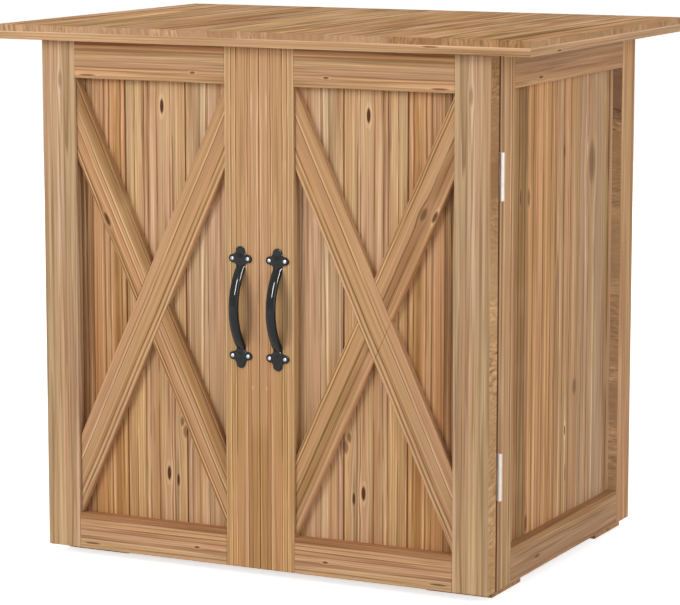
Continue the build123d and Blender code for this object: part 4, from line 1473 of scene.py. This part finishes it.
class CABINET_OT_stage(bpy.types.Operator):
    """Set up the floor, the even light, the lamps and the camera."""

    bl_idname = "cabinet.stage"
    bl_label = "Stage"

    def execute(self, context):
        setup = context.scene.cabinet_stage
        self.floor(context.scene, setup)
        self.sky(context.scene, setup)
        for name, width, place in LAMPS:
            lamp = self.lamp(context.scene, name + "_lamp", getattr(setup, name), width, place)
            lamp.visible_glossy = name != "key"
        for name, place in GLINTS:
            strip = self.lamp(context.scene, name, setup.glint, GLINT_WIDTH, place)
            strip.data.shape = "RECTANGLE"
            strip.data.size_y = setup.glint_height
            strip.visible_diffuse = False
        self.camera(context.scene, setup)
        context.scene.view_settings.view_transform = "Standard"
        return {"FINISHED"}

    def floor(self, scene, setup):
        """Pale floor that keeps the cabinet's shadow and looks white to the camera."""
        corners = np.array([(-1, -1, 0), (1, -1, 0), (1, 1, 0), (-1, 1, 0)]) * setup.floor_reach
        mesh = bpy.data.meshes.new("floor")
        mesh.from_pydata(corners.tolist(), [], [(0, 1, 2, 3)])
        material, tree, shader = new_material("pale_floor")
        glow = tree.seen("Camera", "Glossy") * setup.floor_glow
        looks = {"Base Color": setup.floor, "Roughness": FLOOR_ROUGHNESS, "Specular IOR Level": 0.0,
                 "Emission Color": WHITE, "Emission Strength": glow}
        for label, value in looks.items():
            tree.put(shader.inputs[label], value)
        mesh.materials.append(material)
        floor = bpy.data.objects.new("floor", mesh)
        scene.collection.objects.link(floor)

    def sky(self, scene, setup):
        """Even light from all round, seen as white."""
        scene.world = bpy.data.worlds.new("studio")
        scene.world.use_nodes = True
        scene.world.node_tree.nodes.clear()
        tree = Tree(scene.world.node_tree)
        strength = tree.seen("Camera", "Glossy", "Transmission") * (1.0 - setup.sky) + setup.sky
        light = tree.out("ShaderNodeBackground", {"Color": WHITE, "Strength": strength})
        tree.add("ShaderNodeOutputWorld", {"Surface": light})

    def lamp(self, scene, name, watts, width, place):
        """Square soft lamp aimed at the middle of the cabinet."""
        light = bpy.data.lights.new(name, "AREA")
        light.energy = watts
        light.size = width
        made = bpy.data.objects.new(name, light)
        made.location = place
        aim = (CAD_LOW + CAD_HIGH) / 2 - made.location
        made.rotation_euler = aim.to_track_quat("-Z", "Y").to_euler()
        scene.collection.objects.link(made)
        return made

    def camera(self, scene, setup):
        """Camera at the right of the doors, looking slightly down."""
        data = bpy.data.cameras.new("camera")
        data.lens = setup.lens
        data.sensor_width = SENSOR_WIDTH
        made = bpy.data.objects.new("camera", data)
        made.location = setup.camera_place
        made.rotation_euler = (math.pi / 2 - setup.camera_pitch, 0, setup.camera_yaw)
        scene.collection.objects.link(made)
        scene.camera = made


class CABINET_PT_panel(bpy.types.Panel):
    """Buttons for each group of pieces."""

    bl_idname = "CABINET_PT_panel"
    bl_label = "Storage Cabinet"
    bl_space_type = "VIEW_3D"
    bl_region_type = "UI"
    bl_category = "Cabinet"

    def draw(self, context):
        for operator in OPERATORS:
            self.layout.operator(operator.bl_idname)


OPERATORS = (
    CABINET_OT_top,
    CABINET_OT_carcass,
    CABINET_OT_inside,
    CABINET_OT_feet,
    CABINET_OT_doors,
    CABINET_OT_braces,
    CABINET_OT_pulls,
    CABINET_OT_pull_screws,
    CABINET_OT_hinges,
    CABINET_OT_catches,
    CABINET_OT_stage,
)
GROUPS = {
    "cabinet_wood": WoodFinish,
    "cabinet_metal": MetalFinish,
    "cabinet_pull": PullForm,
    "cabinet_hinge": HingeForm,
    "cabinet_stage": StageSetup,
}


def register():
    """Registers the settings, the operators and the panel."""
    for name, group in GROUPS.items():
        bpy.utils.register_class(group)
        setattr(bpy.types.Scene, name, PointerProperty(type=group))
    for made in (*OPERATORS, CABINET_PT_panel):
        bpy.utils.register_class(made)


def unregister():
    """Takes back what register added."""
    for made in (CABINET_PT_panel, *reversed(OPERATORS)):
        bpy.utils.unregister_class(made)
    for name, group in GROUPS.items():
        delattr(bpy.types.Scene, name)
        bpy.utils.unregister_class(group)


def main():
    """Registers the add-on and dresses the whole cabinet."""
    register()
    for operator in OPERATORS:
        getattr(bpy.ops.cabinet, operator.bl_idname.split(".")[1])()


if __name__ == "__main__":
    main()
